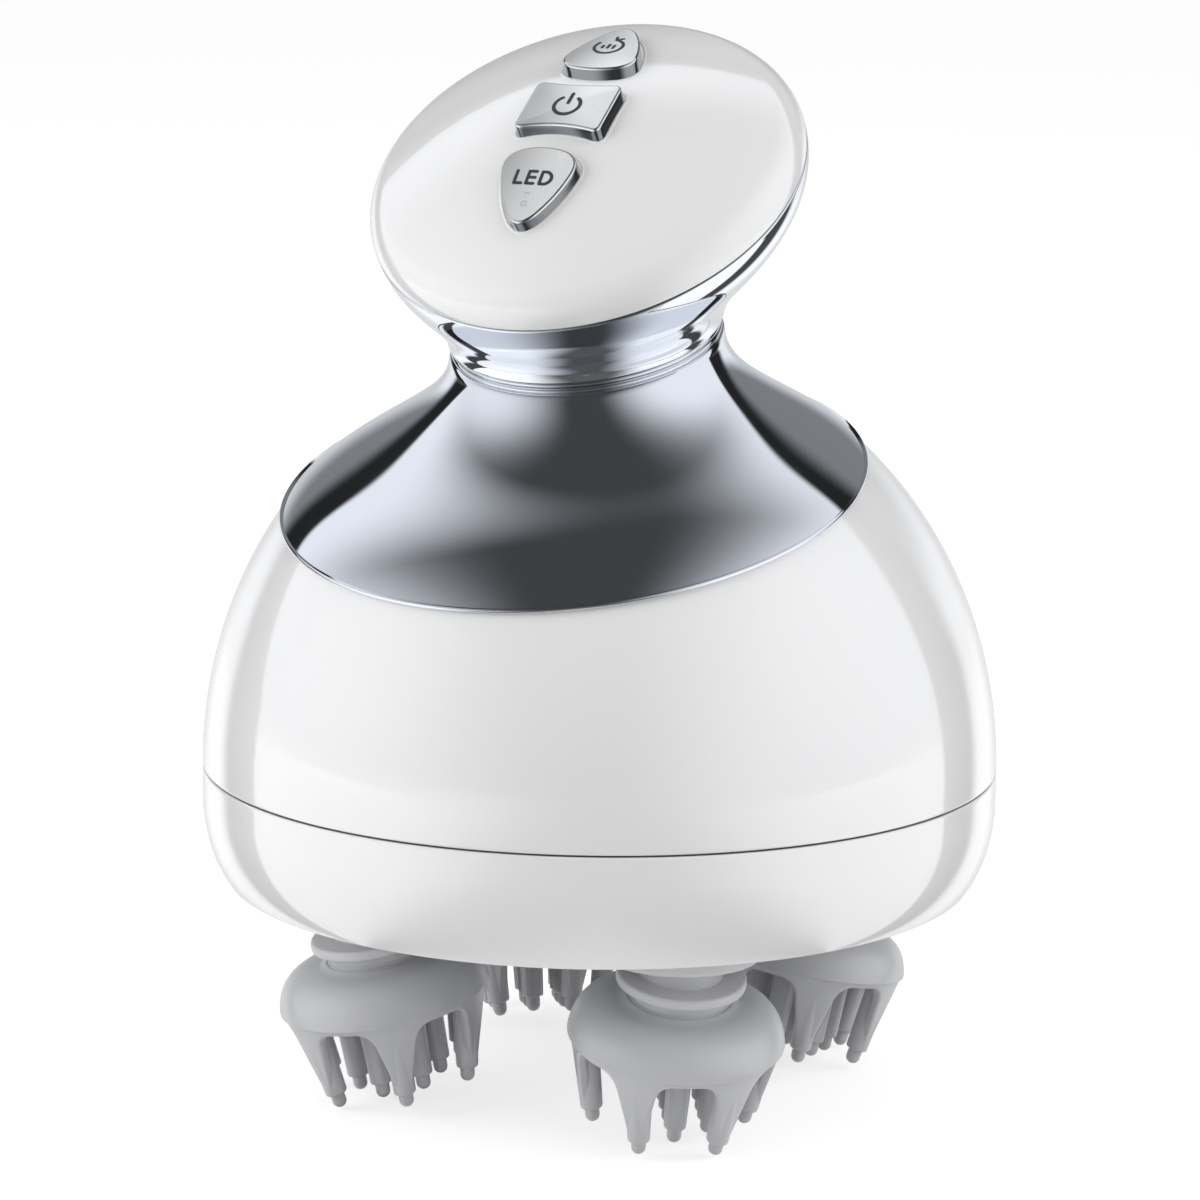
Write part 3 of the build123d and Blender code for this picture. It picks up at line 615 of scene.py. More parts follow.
class MASSAGER_OT_shells(Operator):
    """Builds the domed upper shell, the lower shell and the gasket in the line between them"""

    bl_idname = "massager.shells"
    bl_label = "Body shells"

    def execute(self, context):
        sizes = context.scene.massager_shells
        self.dome(sizes, context.scene.massager_neck)
        self.lower(sizes)
        self.gasket(sizes)
        return {"FINISHED"}

    def dome(self, sizes, neck):
        """Outer ellipse up to a little under the skirt's plane and back down the inner one, every row with
        its own share of the way; a small rounding at the seam edge."""
        slope, plane = np.tan(neck.skirt_tilt), neck.skirt_height - 0.04 * MM
        foot, inside = SEAM + sizes.seam_line, BODY_RADIUS - sizes.wall
        c, s = circle(FINE_TURN)
        share_of = np.linspace(0.0, 1.0, 65)[:, None]

        def wall(inset):
            radius, rise = BODY_RADIUS - inset, sizes.dome_rise - inset
            low = np.arcsin((sizes.seam_line + sizes.edge) / rise)
            a = low + (ellipse_cut(radius, rise, plane, slope, s) - low) * share_of
            return np.stack([radius * np.cos(a) * c, radius * np.cos(a) * s, SEAM + rise * np.sin(a)], -1)

        outer, inner = wall(0.0), wall(sizes.wall)[::-1]
        lip = turned(eased([(inside, foot + sizes.edge), (inside, foot),
                            (BODY_RADIUS - HAIR, foot, sizes.edge),
                            (BODY_RADIUS, foot + sizes.edge + HAIR)]), FINE_TURN)
        lip[0], lip[-1] = inner[-1], outer[0]
        make_piece("upper_dome", [np.concatenate([outer, inner, lip[1:]])], "housing", "white_gloss",
                   ["upper_shell"], shape=self.open_socket)

    def open_socket(self, shell):
        """Rounded mouth for the charging socket in the back of the dome."""
        low, high = SOCKET
        gap, start, depth = 0.35 * MM, 5 * MM, 12 * MM
        half_width, half_height = (high.x - low.x) / 2 + gap, (high.z - low.z) / 2 + gap
        ends = np.linspace(-np.pi / 2, np.pi / 2, 17)
        run = half_width - half_height
        right = np.stack([run + half_height * np.cos(ends), half_height * np.sin(ends)], 1)
        mouth = prism(np.concatenate([right, -right]), 0, depth)
        at = (0.0, high.y - start, (low.z + high.z) / 2)
        cut(shell, [placed(mouth, frame_along(at, (0, 1, 0), (1, 0, 0)))])

    def lower(self, sizes):
        """Straight belt over an elliptical corner, a crisp lower edge, and the recess of the bottom plate."""
        middle, belt_foot = BODY_RADIUS - sizes.corner_run, SEAM - sizes.belt
        a = np.linspace(0.0, np.arcsin((belt_foot - UNDERSIDE) / sizes.corner_drop), 49)
        run, drop = sizes.corner_run * np.cos(a), sizes.corner_drop * np.sin(a)
        corner = np.stack([middle + run, belt_foot - drop], 1)
        crisp = 0.25 * MM
        recess, inner = PLATE_RADIUS + 0.25 * MM, BODY_RADIUS - sizes.wall
        ledge, ledge_top = sizes.ledge_radius, PLATE_TOP + 0.8 * MM
        foot = eased([corner[-2], (corner[-1, 0], UNDERSIDE, crisp), (recess, UNDERSIDE, crisp),
                      (recess, PLATE_TOP), (ledge, PLATE_TOP), (ledge, ledge_top),
                      (inner - 0.55 * sizes.corner_run, ledge_top), (inner, belt_foot), (inner, SEAM),
                      (BODY_RADIUS, SEAM, sizes.edge), (BODY_RADIUS, belt_foot)])
        profile = np.concatenate([corner[:-1], foot[1:]])
        make_piece("lower_ring", [turned(profile, FINE_TURN)], "housing", "white_gloss", ["lower_shell"])

    def gasket(self, sizes):
        """Ring of rubber whose lip stands in the line between the shells."""
        low, high = GASKET
        inner, lip, top = high.x - 0.9 * MM, BODY_RADIUS - 0.28 * MM, SEAM + sizes.seam_line + HAIR
        profile = eased([(inner, low.z), (high.x, low.z), (high.x, SEAM), (lip, SEAM), (lip, top),
                         (inner, top)], closed=True)
        make_piece("seam_seal", [turned(profile, FINE_TURN)], "housing", "dark_rubber", ["seam_gasket"])


# ---------------------------------------------------------------- underside
def four_places(radius, first):
    """Four places at equal turns on a circle, the first at a turn in degrees."""
    turns = np.radians(first + 90.0 * np.arange(4))
    return np.stack([np.cos(turns), np.sin(turns), 0 * turns], 1) * radius


class MASSAGER_OT_base(Operator):
    """Builds the bottom plate with its bosses, the case screws and the light window"""

    bl_idname = "massager.base"
    bl_label = "Underside"

    def execute(self, context):
        sizes = context.scene.massager_base
        screws = four_places(sizes.screw_circle, 0.0)
        self.plate(sizes, screws)
        self.screws(sizes, screws)
        self.window()
        return {"FINISHED"}

    def plate(self, sizes, screws):
        """Disc with a rounded rim and window seat, holes for the bosses and screws, and four turned
        bosses."""
        seat, lens, step = 8.0 * MM, WINDOW[1].x + 0.05 * MM, WINDOW[1].z
        bore, outer = sizes.bore_radius, sizes.boss_radius
        places = four_places(np.hypot(*JOINTS["crank_1_turn"]["pos_m"][:2]), 45.0)
        disc = turned(eased([(seat, step), (lens, step), (lens, UNDERSIDE, 0.2 * MM),
                             (PLATE_RADIUS, UNDERSIDE, sizes.rounding), (PLATE_RADIUS, PLATE_TOP),
                             (seat, PLATE_TOP)], closed=True), FINE_TURN)
        boss = turned(eased([(bore, BOSS_FACE, 0.25 * MM), (outer, BOSS_FACE, 1.6 * sizes.rounding),
                             (outer, BOSS_RIM), (bore, BOSS_RIM)], closed=True))

        def open_holes(plate):
            low, high = UNDERSIDE - MM, PLATE_TOP + MM
            holes = []
            for radius, count, middles in ((outer - MM, 64, places), (sizes.screw_hole, 32, screws)):
                hole = turned([(0, low), (radius, low), (radius, high), (0, high)], count)
                holes += [hole + p for p in middles]
            cut(plate, holes)
            joined(plate, make_piece("bosses", [boss + p for p in places], None, "white_satin"))

        make_piece("base_plate", [disc], "housing", "white_satin", ["bottom_plate"], shape=open_holes)

    def screws(self, sizes, places):
        """Pan heads with a cross recess: the head's crown is a rounded profile, and the recess is where two
        crossed blades, each tapering downwards, dip into it."""
        radius, height = sizes.head_radius, sizes.head_height
        blade, arm_length, recess = 0.13, 0.60, 0.62  # half width, length and depth, as shares of the head
        shank, shank_top = 1.4 * MM, 4 * MM
        rings = np.concatenate([np.linspace(0.0, 0.66, 23), np.linspace(0.70, 1.0, 12)])
        c, s = circle(SMALL_TURN)
        x, y = rings[:, None] * c, rings[:, None] * s
        crown = height * np.sqrt(np.clip(1.0 - 0.55 * rings ** 2 - 0.45 * rings ** 10, 0.0, 1.0))[:, None]
        arm = np.minimum(np.abs(x), np.abs(y)) / blade
        reach = np.maximum(np.abs(x), np.abs(y)) / arm_length
        dip = np.clip(1.6 * (1.0 - arm), 0.0, 1.0) * np.clip(4.0 * (1.0 - reach), 0.0, 1.0)
        head = np.stack([x * radius, y * radius, -(crown - recess * height * dip)], -1)
        body = turned([(shank, 0.0), (shank, shank_top), (0.0, shank_top)])
        screw = np.concatenate([head, body]) + (0.0, 0.0, UNDERSIDE)
        make_piece("case_screws", [screw + p for p in places], "housing", "steel")

    def window(self):
        """Frosted lens, a little domed between its rim and its middle."""
        low, high = WINDOW
        radius, dome = high.x, 0.35 * MM
        flat = radius - 0.5 * MM
        r = np.linspace(0.0, flat, 17)
        face = np.stack([r, low.z + 0.05 * MM + dome * (r / radius) ** 2], 1)
        rim = eased([(flat, low.z + dome), (radius, low.z + dome, 0.2 * MM), (radius, high.z), (0, high.z)])
        profile = np.concatenate([face, rim[1:]])
        make_piece("light_lens", [turned(profile)], "housing", "window_clear", ["light_window"])


# ---------------------------------------------------------------- chrome neck
def tilted(tilt):
    """Directions along and square to a plane that leans to the front, in (y, z)."""
    c, s = np.cos(tilt), np.sin(tilt)
    return np.array([c, s]), np.array([-s, c])


def neck_lines(shells, neck, knob):
    """Front and back lines of the skirt and of the bowl as cubic curves in the (y, z) plane. The skirt's
    start where its leaning plane meets the dome's ellipse, which is a quadratic equation in y."""
    radius, rise = BODY_RADIUS + neck.skirt_proud, shells.dome_rise + neck.skirt_proud
    slope = np.tan(neck.skirt_tilt)
    square = 1 / radius ** 2 + (slope / rise) ** 2
    half = neck.skirt_height * slope / rise ** 2
    root = np.sqrt(half ** 2 - square * ((neck.skirt_height / rise) ** 2 - 1))
    lean, up = tilted(neck.neck_tilt)
    across, out = tilted(knob.tilt)
    middle = np.array([-neck.neck_forward, SEAM + neck.neck_height])
    centre = np.array([-knob.forward, SEAM + knob.height])
    skirt, bowl = [], []
    for side, (back, rise_up, drop), (lift, fall) in zip((-1, 1), SKIRT_PULLS, BOWL_PULLS):
        y = (-half + side * root) / square
        end = np.array([y, SEAM + neck.skirt_height + slope * y])
        top = middle + side * neck.neck_radius * lean
        skirt.append([end, end + np.array([back, rise_up]) * MM, top - (0, drop * MM), top])
        low = middle + up * neck.ring_thick + side * neck.neck_radius * lean
        rim = centre + side * knob.radius * across
        bowl.append([low, low + (0, lift * MM), rim - out * fall * MM, rim])
    return skirt, bowl


class MASSAGER_OT_neck(Operator):
    """Builds the chrome skirt, the ring at the neck and the chrome bowl under the knob"""

    bl_idname = "massager.neck"
    bl_label = "Chrome neck"

    def execute(self, context):
        scene = context.scene
        neck = scene.massager_neck
        skirt, bowl = neck_lines(scene.massager_shells, neck, scene.massager_knob)
        self.skirt(skirt, neck)
        self.ring(neck)
        self.bowl(bowl, neck)
        return {"FINISHED"}

    def skirt(self, lines, neck):
        """Fan of rings from the dome to the neck over a rolled lower edge, with its inner wall."""
        bead, wall = neck.bead, neck.skirt_wall
        a = np.linspace(-np.pi / 2, np.pi / 2 - 0.6, 9)
        roll = [(0.0, bead - bead * np.cos(x) + 0.02 * MM, bead + bead * np.sin(x)) for x in a]
        out = [(t, 0.0, 0.0) for t in (*np.linspace(0.022, 0.97, 90), 0.985)]
        top = [(1.0, 0.12 * MM, -0.12 * MM), (1.0, 0.4 * MM, 0.0), (1.0, wall, 0.0)]
        back = [(t, wall, 0.0) for t in np.linspace(0.95, 0.05, 24)]
        foot = [(0.0, wall, 0.0)]
        rings = fan(*lines, foot + roll + out + top + back + foot)
        make_piece("chrome_skirt", [rings], "housing", "mirror_chrome", ["neck_skirt"])

    def ring(self, neck):
        """Ring with two rounded beads, each a raised half wave of the profile."""
        place = leaning(neck.neck_forward, SEAM + neck.neck_height, neck.neck_tilt)
        height = np.linspace(0.02, 0.98, 49)
        wave = np.abs(np.sin(2 * np.pi * height)) ** 0.5
        outer = neck.neck_radius - 0.85 * MM + 0.6 * MM * wave
        inner, top = neck.neck_radius - 3.0 * MM, neck.ring_thick
        face = np.stack([outer, height * top], 1)
        profile = np.concatenate([[(inner, 0.0), (outer[0], 0.0)], face,
                                  [(outer[-1], top), (inner, top), (inner, 0.0)]])
        make_piece("neck_band", [placed(turned(profile, FINE_TURN), place)], "housing", "dark_metal",
                   ["neck_ring"])

    def bowl(self, lines, neck):
        """Fan of rings from the neck to the parting line, its rim a little rounded."""
        wall, edge = neck.skirt_wall, 0.25 * MM
        foot = [(0.0, wall, 0.0), (0.0, 0.35 * MM, 0.0), (0.0, 0.08 * MM, 0.1 * MM)]
        out = [(t, 0.0, 0.0) for t in np.linspace(0.02, 0.985, 80)]
        a = np.linspace(0.0, np.pi / 2, 6)
        rim = [(1.0, edge - edge * np.cos(x), edge * np.sin(x) - edge) for x in a]
        back = [(t, wall, 0.0) for t in np.linspace(1.0, 0.05, 24)]
        rings = fan(*lines, foot + out + rim + back + foot[:1])
        make_piece("chrome_bowl", [rings], "housing", "mirror_chrome", ["knob_bowl"])


# ---------------------------------------------------------------- knob cap and keys
def crown_radius(knob):
    """Radius of the crown arc that runs on from the rounded edge and reaches the cap's rise."""
    edge = knob.edge
    return (knob.radius ** 2 + knob.rise ** 2 - 2 * knob.radius * edge) / (2 * (knob.rise - edge))


def knob_frame(knob):
    """Frame at the middle of the parting plane, its Z square to the plane."""
    return leaning(knob.forward, SEAM + knob.height, knob.tilt)


def key_places(keys):
    """Place of each key along the row, towards the back, and its turn."""
    pitch = (keys.square_length + keys.pick_length) / 2 + keys.land
    return {"led": (keys.offset - pitch, 0.0), "power": (keys.offset, 0.0),
            "mode": (keys.offset + pitch, np.pi)}


def key_outline(which, keys):
    """Outline of a key in its own frame: a square with two hollow sides, or a rounded pick."""
    if which == "power":
        x, y, ease = keys.square_width / 2, keys.square_length / 2, 1.3 * MM
        corners = [(-x, -y, ease, -keys.front_hollow), (x, -y, ease, 0), (x, y, ease, -keys.back_hollow),
                   (-x, y, ease, 0)]
    else:
        x, half = keys.pick_width / 2, keys.pick_length / 2
        base, tip, nose = half - 1.4 * MM, -half + 0.7 * MM, 1.5 * MM
        base_ease, nose_ease = 2.2 * MM, 0.8 * MM
        corners = [(x, base, base_ease, 1.4 * MM), (-x, base, base_ease, 0.8 * MM),
                   (-nose, tip, nose_ease, 0.62 * MM), (nose, tip, nose_ease, 0.8 * MM)]
    return bulged(corners, 25)


def key_frame(knob, row, turn):
    """Frame on the cap's crown at a place in the row: Z is the crown's normal there, X stays level."""
    crown = crown_radius(knob)
    height = knob.rise - crown + np.sqrt(crown ** 2 - row ** 2)
    local = turn_of(1, 2, -np.arcsin(row / crown), (0, row, height))
    return knob_frame(knob) @ local @ turn_of(0, 1, turn)


class MASSAGER_OT_cap(Operator):
    """Builds the knob's white cap with the openings for the keys"""

    bl_idname = "massager.cap"
    bl_label = "Knob cap"

    def execute(self, context):
        knob, keys = context.scene.massager_knob, context.scene.massager_keys
        outer = self.lens(knob, 0.0, 17, 65)
        inner = self.lens(knob, knob.wall, 9, 17)[:0:-1]
        foot = eased([inner[-1], (knob.radius - knob.wall, knob.parting),
                      (knob.radius, knob.parting, 0.18 * MM), outer[2]])
        profile = np.concatenate([outer[2:], inner, foot[1:]])

        def open_keys(cap):
            """Through openings of the keys' outlines, wider by the gap."""
            cutters = []
            for which, (row, turn) in key_places(keys).items():
                opening = prism(grown(key_outline(which, keys), keys.gap), -6 * MM, 4 * MM)
                cutters.append(placed(opening, key_frame(knob, row, turn)))
            cut(cap, cutters)

        make_piece("cap", [placed(turned(profile, FINE_TURN), knob_frame(knob))], "housing", "white_gloss",
                   ["knob_cap"], shape=open_keys)
        return {"FINISHED"}

    def lens(self, knob, inset, edge_steps, crown_steps):
        """Profile from the parting plane: an arc of the edge's radius, then the crown's arc to the axis, both
        made smaller by the inset."""
        crown, edge = crown_radius(knob), knob.edge - inset
        turn = np.arctan2(crown - knob.rise, knob.radius - knob.edge)
        a = np.linspace(0.0, turn, edge_steps)
        rim = np.stack([knob.radius - knob.edge + edge * np.cos(a), edge * np.sin(a)], 1)
        b = np.linspace(turn, np.pi / 2, crown_steps)[1:]
        top = np.stack([(crown - inset) * np.cos(b), knob.rise - crown + (crown - inset) * np.sin(b)], 1)
        top[-1, 0] = 0.0
        return np.concatenate([rim, top])


def ribbon(line, width):
    """Flat stroke along a line, with half-round ends: rows are the line's points, each spread across by half
    the width, and the ends close in on a circle's arc."""
    line = np.asarray(line, float)
    along = np.gradient(line, axis=0)
    along /= np.linalg.norm(along, axis=1)[:, None]
    across = np.stack([-along[:, 1], along[:, 0]], 1)
    a = np.linspace(np.pi / 2, 0.06, 7)
    head = [line[0] - along[0] * np.sin(x) * width / 2 for x in a]
    tail = [line[-1] + along[-1] * np.sin(x) * width / 2 for x in a[::-1]]
    middle = np.concatenate([head, line, tail])
    half = np.concatenate([np.cos(a), np.ones(len(line)), np.cos(a[::-1])]) * width / 2
    side = np.concatenate([across[:1].repeat(len(a), 0), across, across[-1:].repeat(len(a), 0)])
    return np.stack([middle + side * half[:, None] * k for k in (-1.0, -0.5, 0.0, 0.5, 1.0)], 1)


def arc(middle, radius, start, stop, count=33):
    """Points at equal turns on a circle, from start to stop in degrees."""
    turn = np.radians(np.linspace(start, stop, count))
    return np.stack([middle[0] + radius * np.cos(turn), middle[1] + radius * np.sin(turn)], 1)


def stroke(start, stop):
    """Points at equal steps on a straight line."""
    return np.linspace(start, stop, 9)


def printed(lines, width, ink="printed_mark"):
    """Ribbon of each line, with its ink."""
    return [(ribbon(line, width), ink) for line in lines]


def power_mark():
    """Open ring with an upright bar in its gap."""
    ring = arc((0, -0.1 * MM), 1.75 * MM, 90 + 38, 90 + 322, 49)
    return printed([ring, stroke((0, 0.3 * MM), (0, 2.15 * MM))], 0.5 * MM)


def mode_mark():
    """Turning arrow: an open ring that ends in an arrow head, round three short upright bars."""
    ring = arc((0, 0), 1.9 * MM, 150, 440, 49)
    head = [stroke(ring[-1] + np.array(p) * MM, ring[-1]) for p in ((0.75, 0.55), (-0.25, 0.9))]
    tops = ((-0.75, 0.1), (0, 0.5), (0.75, 0.3))
    bars = [stroke((x * MM, -0.45 * MM), (x * MM, top * MM)) for x, top in tops]
    return printed([ring, *head, *bars], 0.42 * MM)


def led_mark():
    """Three letters of plain strokes, with a small ring and a bow below them."""
    top, wide, pitch, first = 1.9 * MM, 1.0 * MM, 1.78 * MM, -2.4 * MM
    middle = top / 2
    second, third = first + pitch - 0.1 * MM, first + 2 * pitch - 0.05 * MM
    lines = [stroke((first, top), (first, 0)), stroke((first, 0), (first + wide, 0)),
             stroke((second, top), (second, 0))]
    lines += [stroke((second, y), (second + wide, y)) for y in (top, middle, 0)]
    lines.append(stroke((third, top), (third, 0)))
    bow = arc((third + 0.45 * MM, middle), middle, 90, -90)
    lines.append(np.concatenate([[(third, top)], bow, [(third, 0)]]))
    lamp = [arc((0, -3.1 * MM), 0.38 * MM, 0, 350), arc((0, -1.7 * MM), 0.28 * MM, 20, 160)]
    return printed(lines, 0.44 * MM) + printed(lamp, 0.11 * MM, "faint_mark")


class MASSAGER_OT_keys(Operator):
    """Builds the three metal keys with their printed marks, and the rims of their openings"""

    bl_idname = "massager.keys"
    bl_label = "Keys"

    def execute(self, context):
        knob, keys = context.scene.massager_knob, context.scene.massager_keys
        marks = {"led": led_mark, "power": power_mark, "mode": mode_mark}
        for which, (row, turn) in key_places(keys).items():
            place = key_frame(knob, row, turn)
            outline = key_outline(which, keys)
            self.key(keys, which, outline, place)
            self.opening_rim(keys, which, outline, place, crown_radius(knob))
            upright = key_frame(knob, row, 0.0)
            for number, (mark, ink) in enumerate(marks[which](), 1):
                grids = [placed(grid, upright) for grid in self.sheet(keys, mark)]
                make_piece(f"{which}_mark_{number}", grids, f"{which}_key", "satin_metal", looks=[ink])
        return {"FINISHED"}

    def key(self, keys, which, outline, place):
        """Outline carried up its wall, over a quarter-round edge and in to the middle over a low crown."""
        bevel, shoulder = keys.bevel, keys.proud - keys.bevel
        a = np.linspace(0.0, np.pi / 2, 8)[1:]
        shrink = np.linspace(0.0, 1.0, 13)[1:]
        rows = [(1, 0, -keys.depth), (0, 0, -keys.depth), (0, 0, shoulder - 0.6 * MM), (0, 0, shoulder)]
        rows += [(0, bevel * (np.cos(x) - 1), shoulder + bevel * np.sin(x)) for x in a]
        rows += [(x, -bevel, keys.proud + keys.crown * (1 - (1 - x) ** 2)) for x in shrink]
        # the wall rows take a painted shade, a dark copy of the keys' metal; the bevel rows are polished and
        # the face rows satin
        make_piece(f"{which}_key_top", [placed(stacked(outline, rows), place)], f"{which}_key", "satin_metal",
                   [f"{which}_button"], looks=["satin_metal", "polished_edge", "dark_wall"],
                   bands=[2] * 3 + [1] * len(a) + [0] * len(shrink))

    def opening_rim(self, keys, which, outline, place, crown):
        """Low half-round rim on the crown round an opening: rows are the outline grown across the rim, their
        height half a wave, and every point is let down by the crown's own sag from the key's middle."""
        start, rim, height, root = keys.gap, keys.rim, 0.09 * MM, -0.3 * MM
        rows = [(0, start + rim * a, height * np.sin(np.pi * a)) for a in np.linspace(0.0, 1.0, 7)]
        rows += [(0, start + rim, root), (0, start, root), (0, start, 0)]
        grid = stacked(outline, rows)
        grid[..., 2] += np.sqrt(crown ** 2 - (grid[..., :2] ** 2).sum(-1)) - crown
        make_piece(f"{which}_rim", [placed(grid, place)], "housing", "white_gloss")

    def sheet(self, keys, flat):
        """Closed sheet of ink: the flat shape a little under the key's face and again a mark's height above
        it. The face falls from its middle with the square of the distance."""
        reach = keys.square_width / 2
        far = np.clip((flat ** 2).sum(-1) / reach ** 2, 0.0, 1.0)
        face = (keys.proud + keys.crown * (1 - far))[..., None]
        low = np.concatenate([flat, face - 0.05 * MM], -1)
        high = np.concatenate([flat, face + keys.mark], -1)
        rim = np.concatenate([high[:, :1], low[:, :1]], 1)
        far_rim = np.concatenate([low[:, -1:], high[:, -1:]], 1)
        return [high, low, rim, far_rim, *(np.stack([low[k], high[k]], 0) for k in (0, -1))]


# ---------------------------------------------------------------- claws
class MASSAGER_OT_claws(Operator):
    """Builds the four silicone claws, their collars and the leaning flanges that carry them"""

    bl_idname = "massager.claws"
    bl_label = "Claws"

    def execute(self, context):
        self.sizes = context.scene.massager_claws
        self.rim = -self.sizes.rim_drop
        claw = [self.cap(), self.webs(), *self.fingers()]
        neck, neck_foot = 5.5 * MM, BOSS_FACE + 1.5 * MM
        for number in range(1, 5):
            joint = JOINTS[f"claw_{number}_spin"]
            x, y, z = joint["pos_m"]
            place = frame_along((x, y, z), joint["axis"], (x, y, 0.0))
            body, slot = f"kneader_{number}", "grey_silicone"
            make_piece(f"silicone_claw_{number}", [placed(g, place) for g in claw], body, slot,
                       [f"claw_{number}"])
            make_piece(f"collar_{number}", [placed(self.collar(), place)], body, slot, [f"claw_hub_{number}"],
                       looks=["hub_plastic"])
            shoulder = turned([(0, neck_foot), (neck, neck_foot), (neck, z + MM), (0, z + MM)]) + (x, y, 0.0)
            make_piece(f"leaning_flange_{number}", [placed(self.flange(), place), shoulder],
                       f"crank_{number}", slot, [f"crank_pin_{number}"], looks=["hub_plastic"])
        return {"FINISHED"}

    def cap(self):
        """Turned cap: a dip round the collar, a broad rounded shoulder, a crisp rim and the flat
        underside."""
        rim, radius = self.rim, self.sizes.rim_radius
        bore, groove = self.sizes.collar_radius + 0.04 * MM, self.sizes.collar_radius + 0.3 * MM
        root, start, top = -3 * MM, 8.6 * MM, -1.5 * MM
        step, floor = radius - self.sizes.lip - 0.15 * MM, rim - 0.7 * MM
        shoulder = bezier([(start, top), (11.9 * MM, top - 0.05 * MM), (radius - 0.35 * MM, rim + 3.3 * MM),
                           (radius, rim + 0.1 * MM)], np.linspace(0.0, 1.0, 41))
        dip = eased([(0, root), (bore, root), (bore, -1.0 * MM, 0.08 * MM), (groove, -0.98 * MM, 0.12 * MM),
                     (7.5 * MM, -1.42 * MM, 0.5 * MM), (start, top)])
        under = eased([(radius, rim + 0.1 * MM), (radius, rim - 0.05 * MM, 0.12 * MM),
                       (step, rim - 0.15 * MM), (step - 0.15 * MM, floor), (0, floor)])
        return turned(np.concatenate([dip, shoulder[1:], under[1:]]), 128)

    def leg_radius(self, depth):
        """Outer radius of the legs' cone at a depth under the rim."""
        return self.sizes.rim_radius - self.sizes.lip - depth * np.tan(self.sizes.leg_taper)

    def webs(self):
        """Band that hangs from the rim on a tapering cone, its lower edge the line of the arches. Across is
        the turn times the rim's radius, down is the depth. From the middle of an arch to the middle of a leg
        the edge runs level, turns down a leaning side and runs level again at the leg's foot; columns stand
        at equal steps of that line. Rows go down the outside, round the edge and up the inside."""
        sizes = self.sizes
        radius, start, foot = sizes.rim_radius, sizes.arch_start, sizes.leg_length - sizes.tip_length
        pitch = 2 * np.pi * radius / sizes.legs

        def side(depth):
            half = sizes.arch_half + sizes.arch_spread * (depth - start)
            return np.arcsin(half / self.leg_radius(depth)) * radius

        line = eased([(0, start), (side(start), start, 2.3 * MM), (side(foot), foot, 0.9 * MM),
                      (pitch / 2, foot)], 14)
        step = np.concatenate([[0], np.cumsum(np.linalg.norm(np.diff(line, axis=0), axis=1))])
        at = np.linspace(0, step[-1], 41)
        half_line = np.stack([np.interp(at, step, line[:, k]) for k in (0, 1)], 1)
        mirrored = half_line[::-1][1:] * (-1, 1) + (pitch, 0)
        edge = np.concatenate([half_line, mirrored])[:-1]
        edge = np.concatenate([edge + (pitch * k, 0) for k in range(sizes.legs)])
        round_once = (pitch * sizes.legs, 0)
        closed = np.concatenate([edge, edge[:1] + round_once])
        before = np.concatenate([edge[-1:] - round_once, closed[:-1]])
        after = np.concatenate([closed[1:], edge[1:2] + round_once])
        along = after - before
        out = np.stack([-along[:, 1], along[:, 0]], 1) / np.linalg.norm(along, axis=1)[:, None]
        soft = 0.42 * MM
        near, far = (soft * (1 - wave(np.linspace(0, np.pi / 2, 6))) for wave in (np.sin, np.cos))
        rounding = [*zip(near, far), *zip(far, sizes.web - near)]

        def solid(flat, inward):
            x, depth = flat[:, 0], flat[:, 1]
            r = self.leg_radius(depth) - inward
            turn = x / radius + sizes.first_leg + np.pi / sizes.legs
            row = np.stack([r * np.cos(turn), r * np.sin(turn), self.rim - depth], 1)
            row[-1] = row[0]
            return row

        base = closed - out * soft
        levels = np.linspace(0, 1, 12)[:-1]
        rows = [solid(base * (1, v), 0.0) for v in levels]
        rows += [solid(closed - out * inset, inward) for inset, inward in rounding]
        rows += [solid(base * (1, v), sizes.web) for v in levels[::-1]]
        return np.stack(rows + rows[:1])

    def fingers(self):
        """Tapered fingers with a stepped, round-ended tip: outer ones behind the webs, inner ones on a circle
        between them, and one in the middle."""
        sizes, inner = self.sizes, self.sizes.inner_circle
        floor, tips = self.rim - 0.6 * MM, self.rim - sizes.leg_length
        top = self.leg_radius(0.0) - sizes.finger_root - 0.25 * MM
        low = self.leg_radius(sizes.leg_length) - sizes.tip_radius - 0.1 * MM
        turns = sizes.first_leg + 2 * np.pi * np.arange(sizes.legs) / sizes.legs
        places = [(top, low, turn) for turn in turns]
        places += [(inner, inner, turn + np.pi / sizes.legs) for turn in turns]
        places.append((0.0, 0.0, 0.0))
        made = []
        for start, stop, turn in places:
            way = np.subtract((stop, 0.0, tips), (start, 0.0, floor))
            finger = turned(self.finger_profile(np.linalg.norm(way)), 28)
            finger = placed(finger, frame_along((start, 0.0, floor), way, (0.3, 1.0, 0.1)))
            made.append(placed(finger, turn_of(0, 1, turn)))
        return made

    def finger_profile(self, size):
        """Profile of a finger: a slow taper, a rounded step and a thin tip with a round end."""
        sizes = self.sizes
        step, tip = size - sizes.tip_length, sizes.tip_radius
        shaft = eased([(0, 0), (sizes.finger_root, 0), (sizes.finger_foot, step, 0.28 * MM),
                       (tip, step, 0.12 * MM), (tip, size - tip)], 5)
        a = np.linspace(0, np.pi / 2, 8)[1:]
        end = np.stack([tip * np.cos(a), size - tip + tip * np.sin(a)], 1)
        end[-1, 0] = 0.0
        taper = np.linspace(shaft[1], shaft[2], 10)
        return np.concatenate([shaft[:1], taper[:-1], shaft[2:], end])

    def collar(self):
        """Turned collar with a shallow groove and rounded edges."""
        r = self.sizes.collar_radius
        groove, lip = r - 0.4 * MM, r + 0.05 * MM
        return turned(eased([(0, -2.9 * MM), (r, -2.9 * MM), (r, -0.98 * MM, 0.1 * MM),
                             (groove, -0.86 * MM, 0.1 * MM), (groove, -0.5 * MM, 0.1 * MM),
                             (lip, -0.38 * MM, 0.12 * MM), (lip, 0.6 * MM, 0.3 * MM), (0, 0.6 * MM)]))

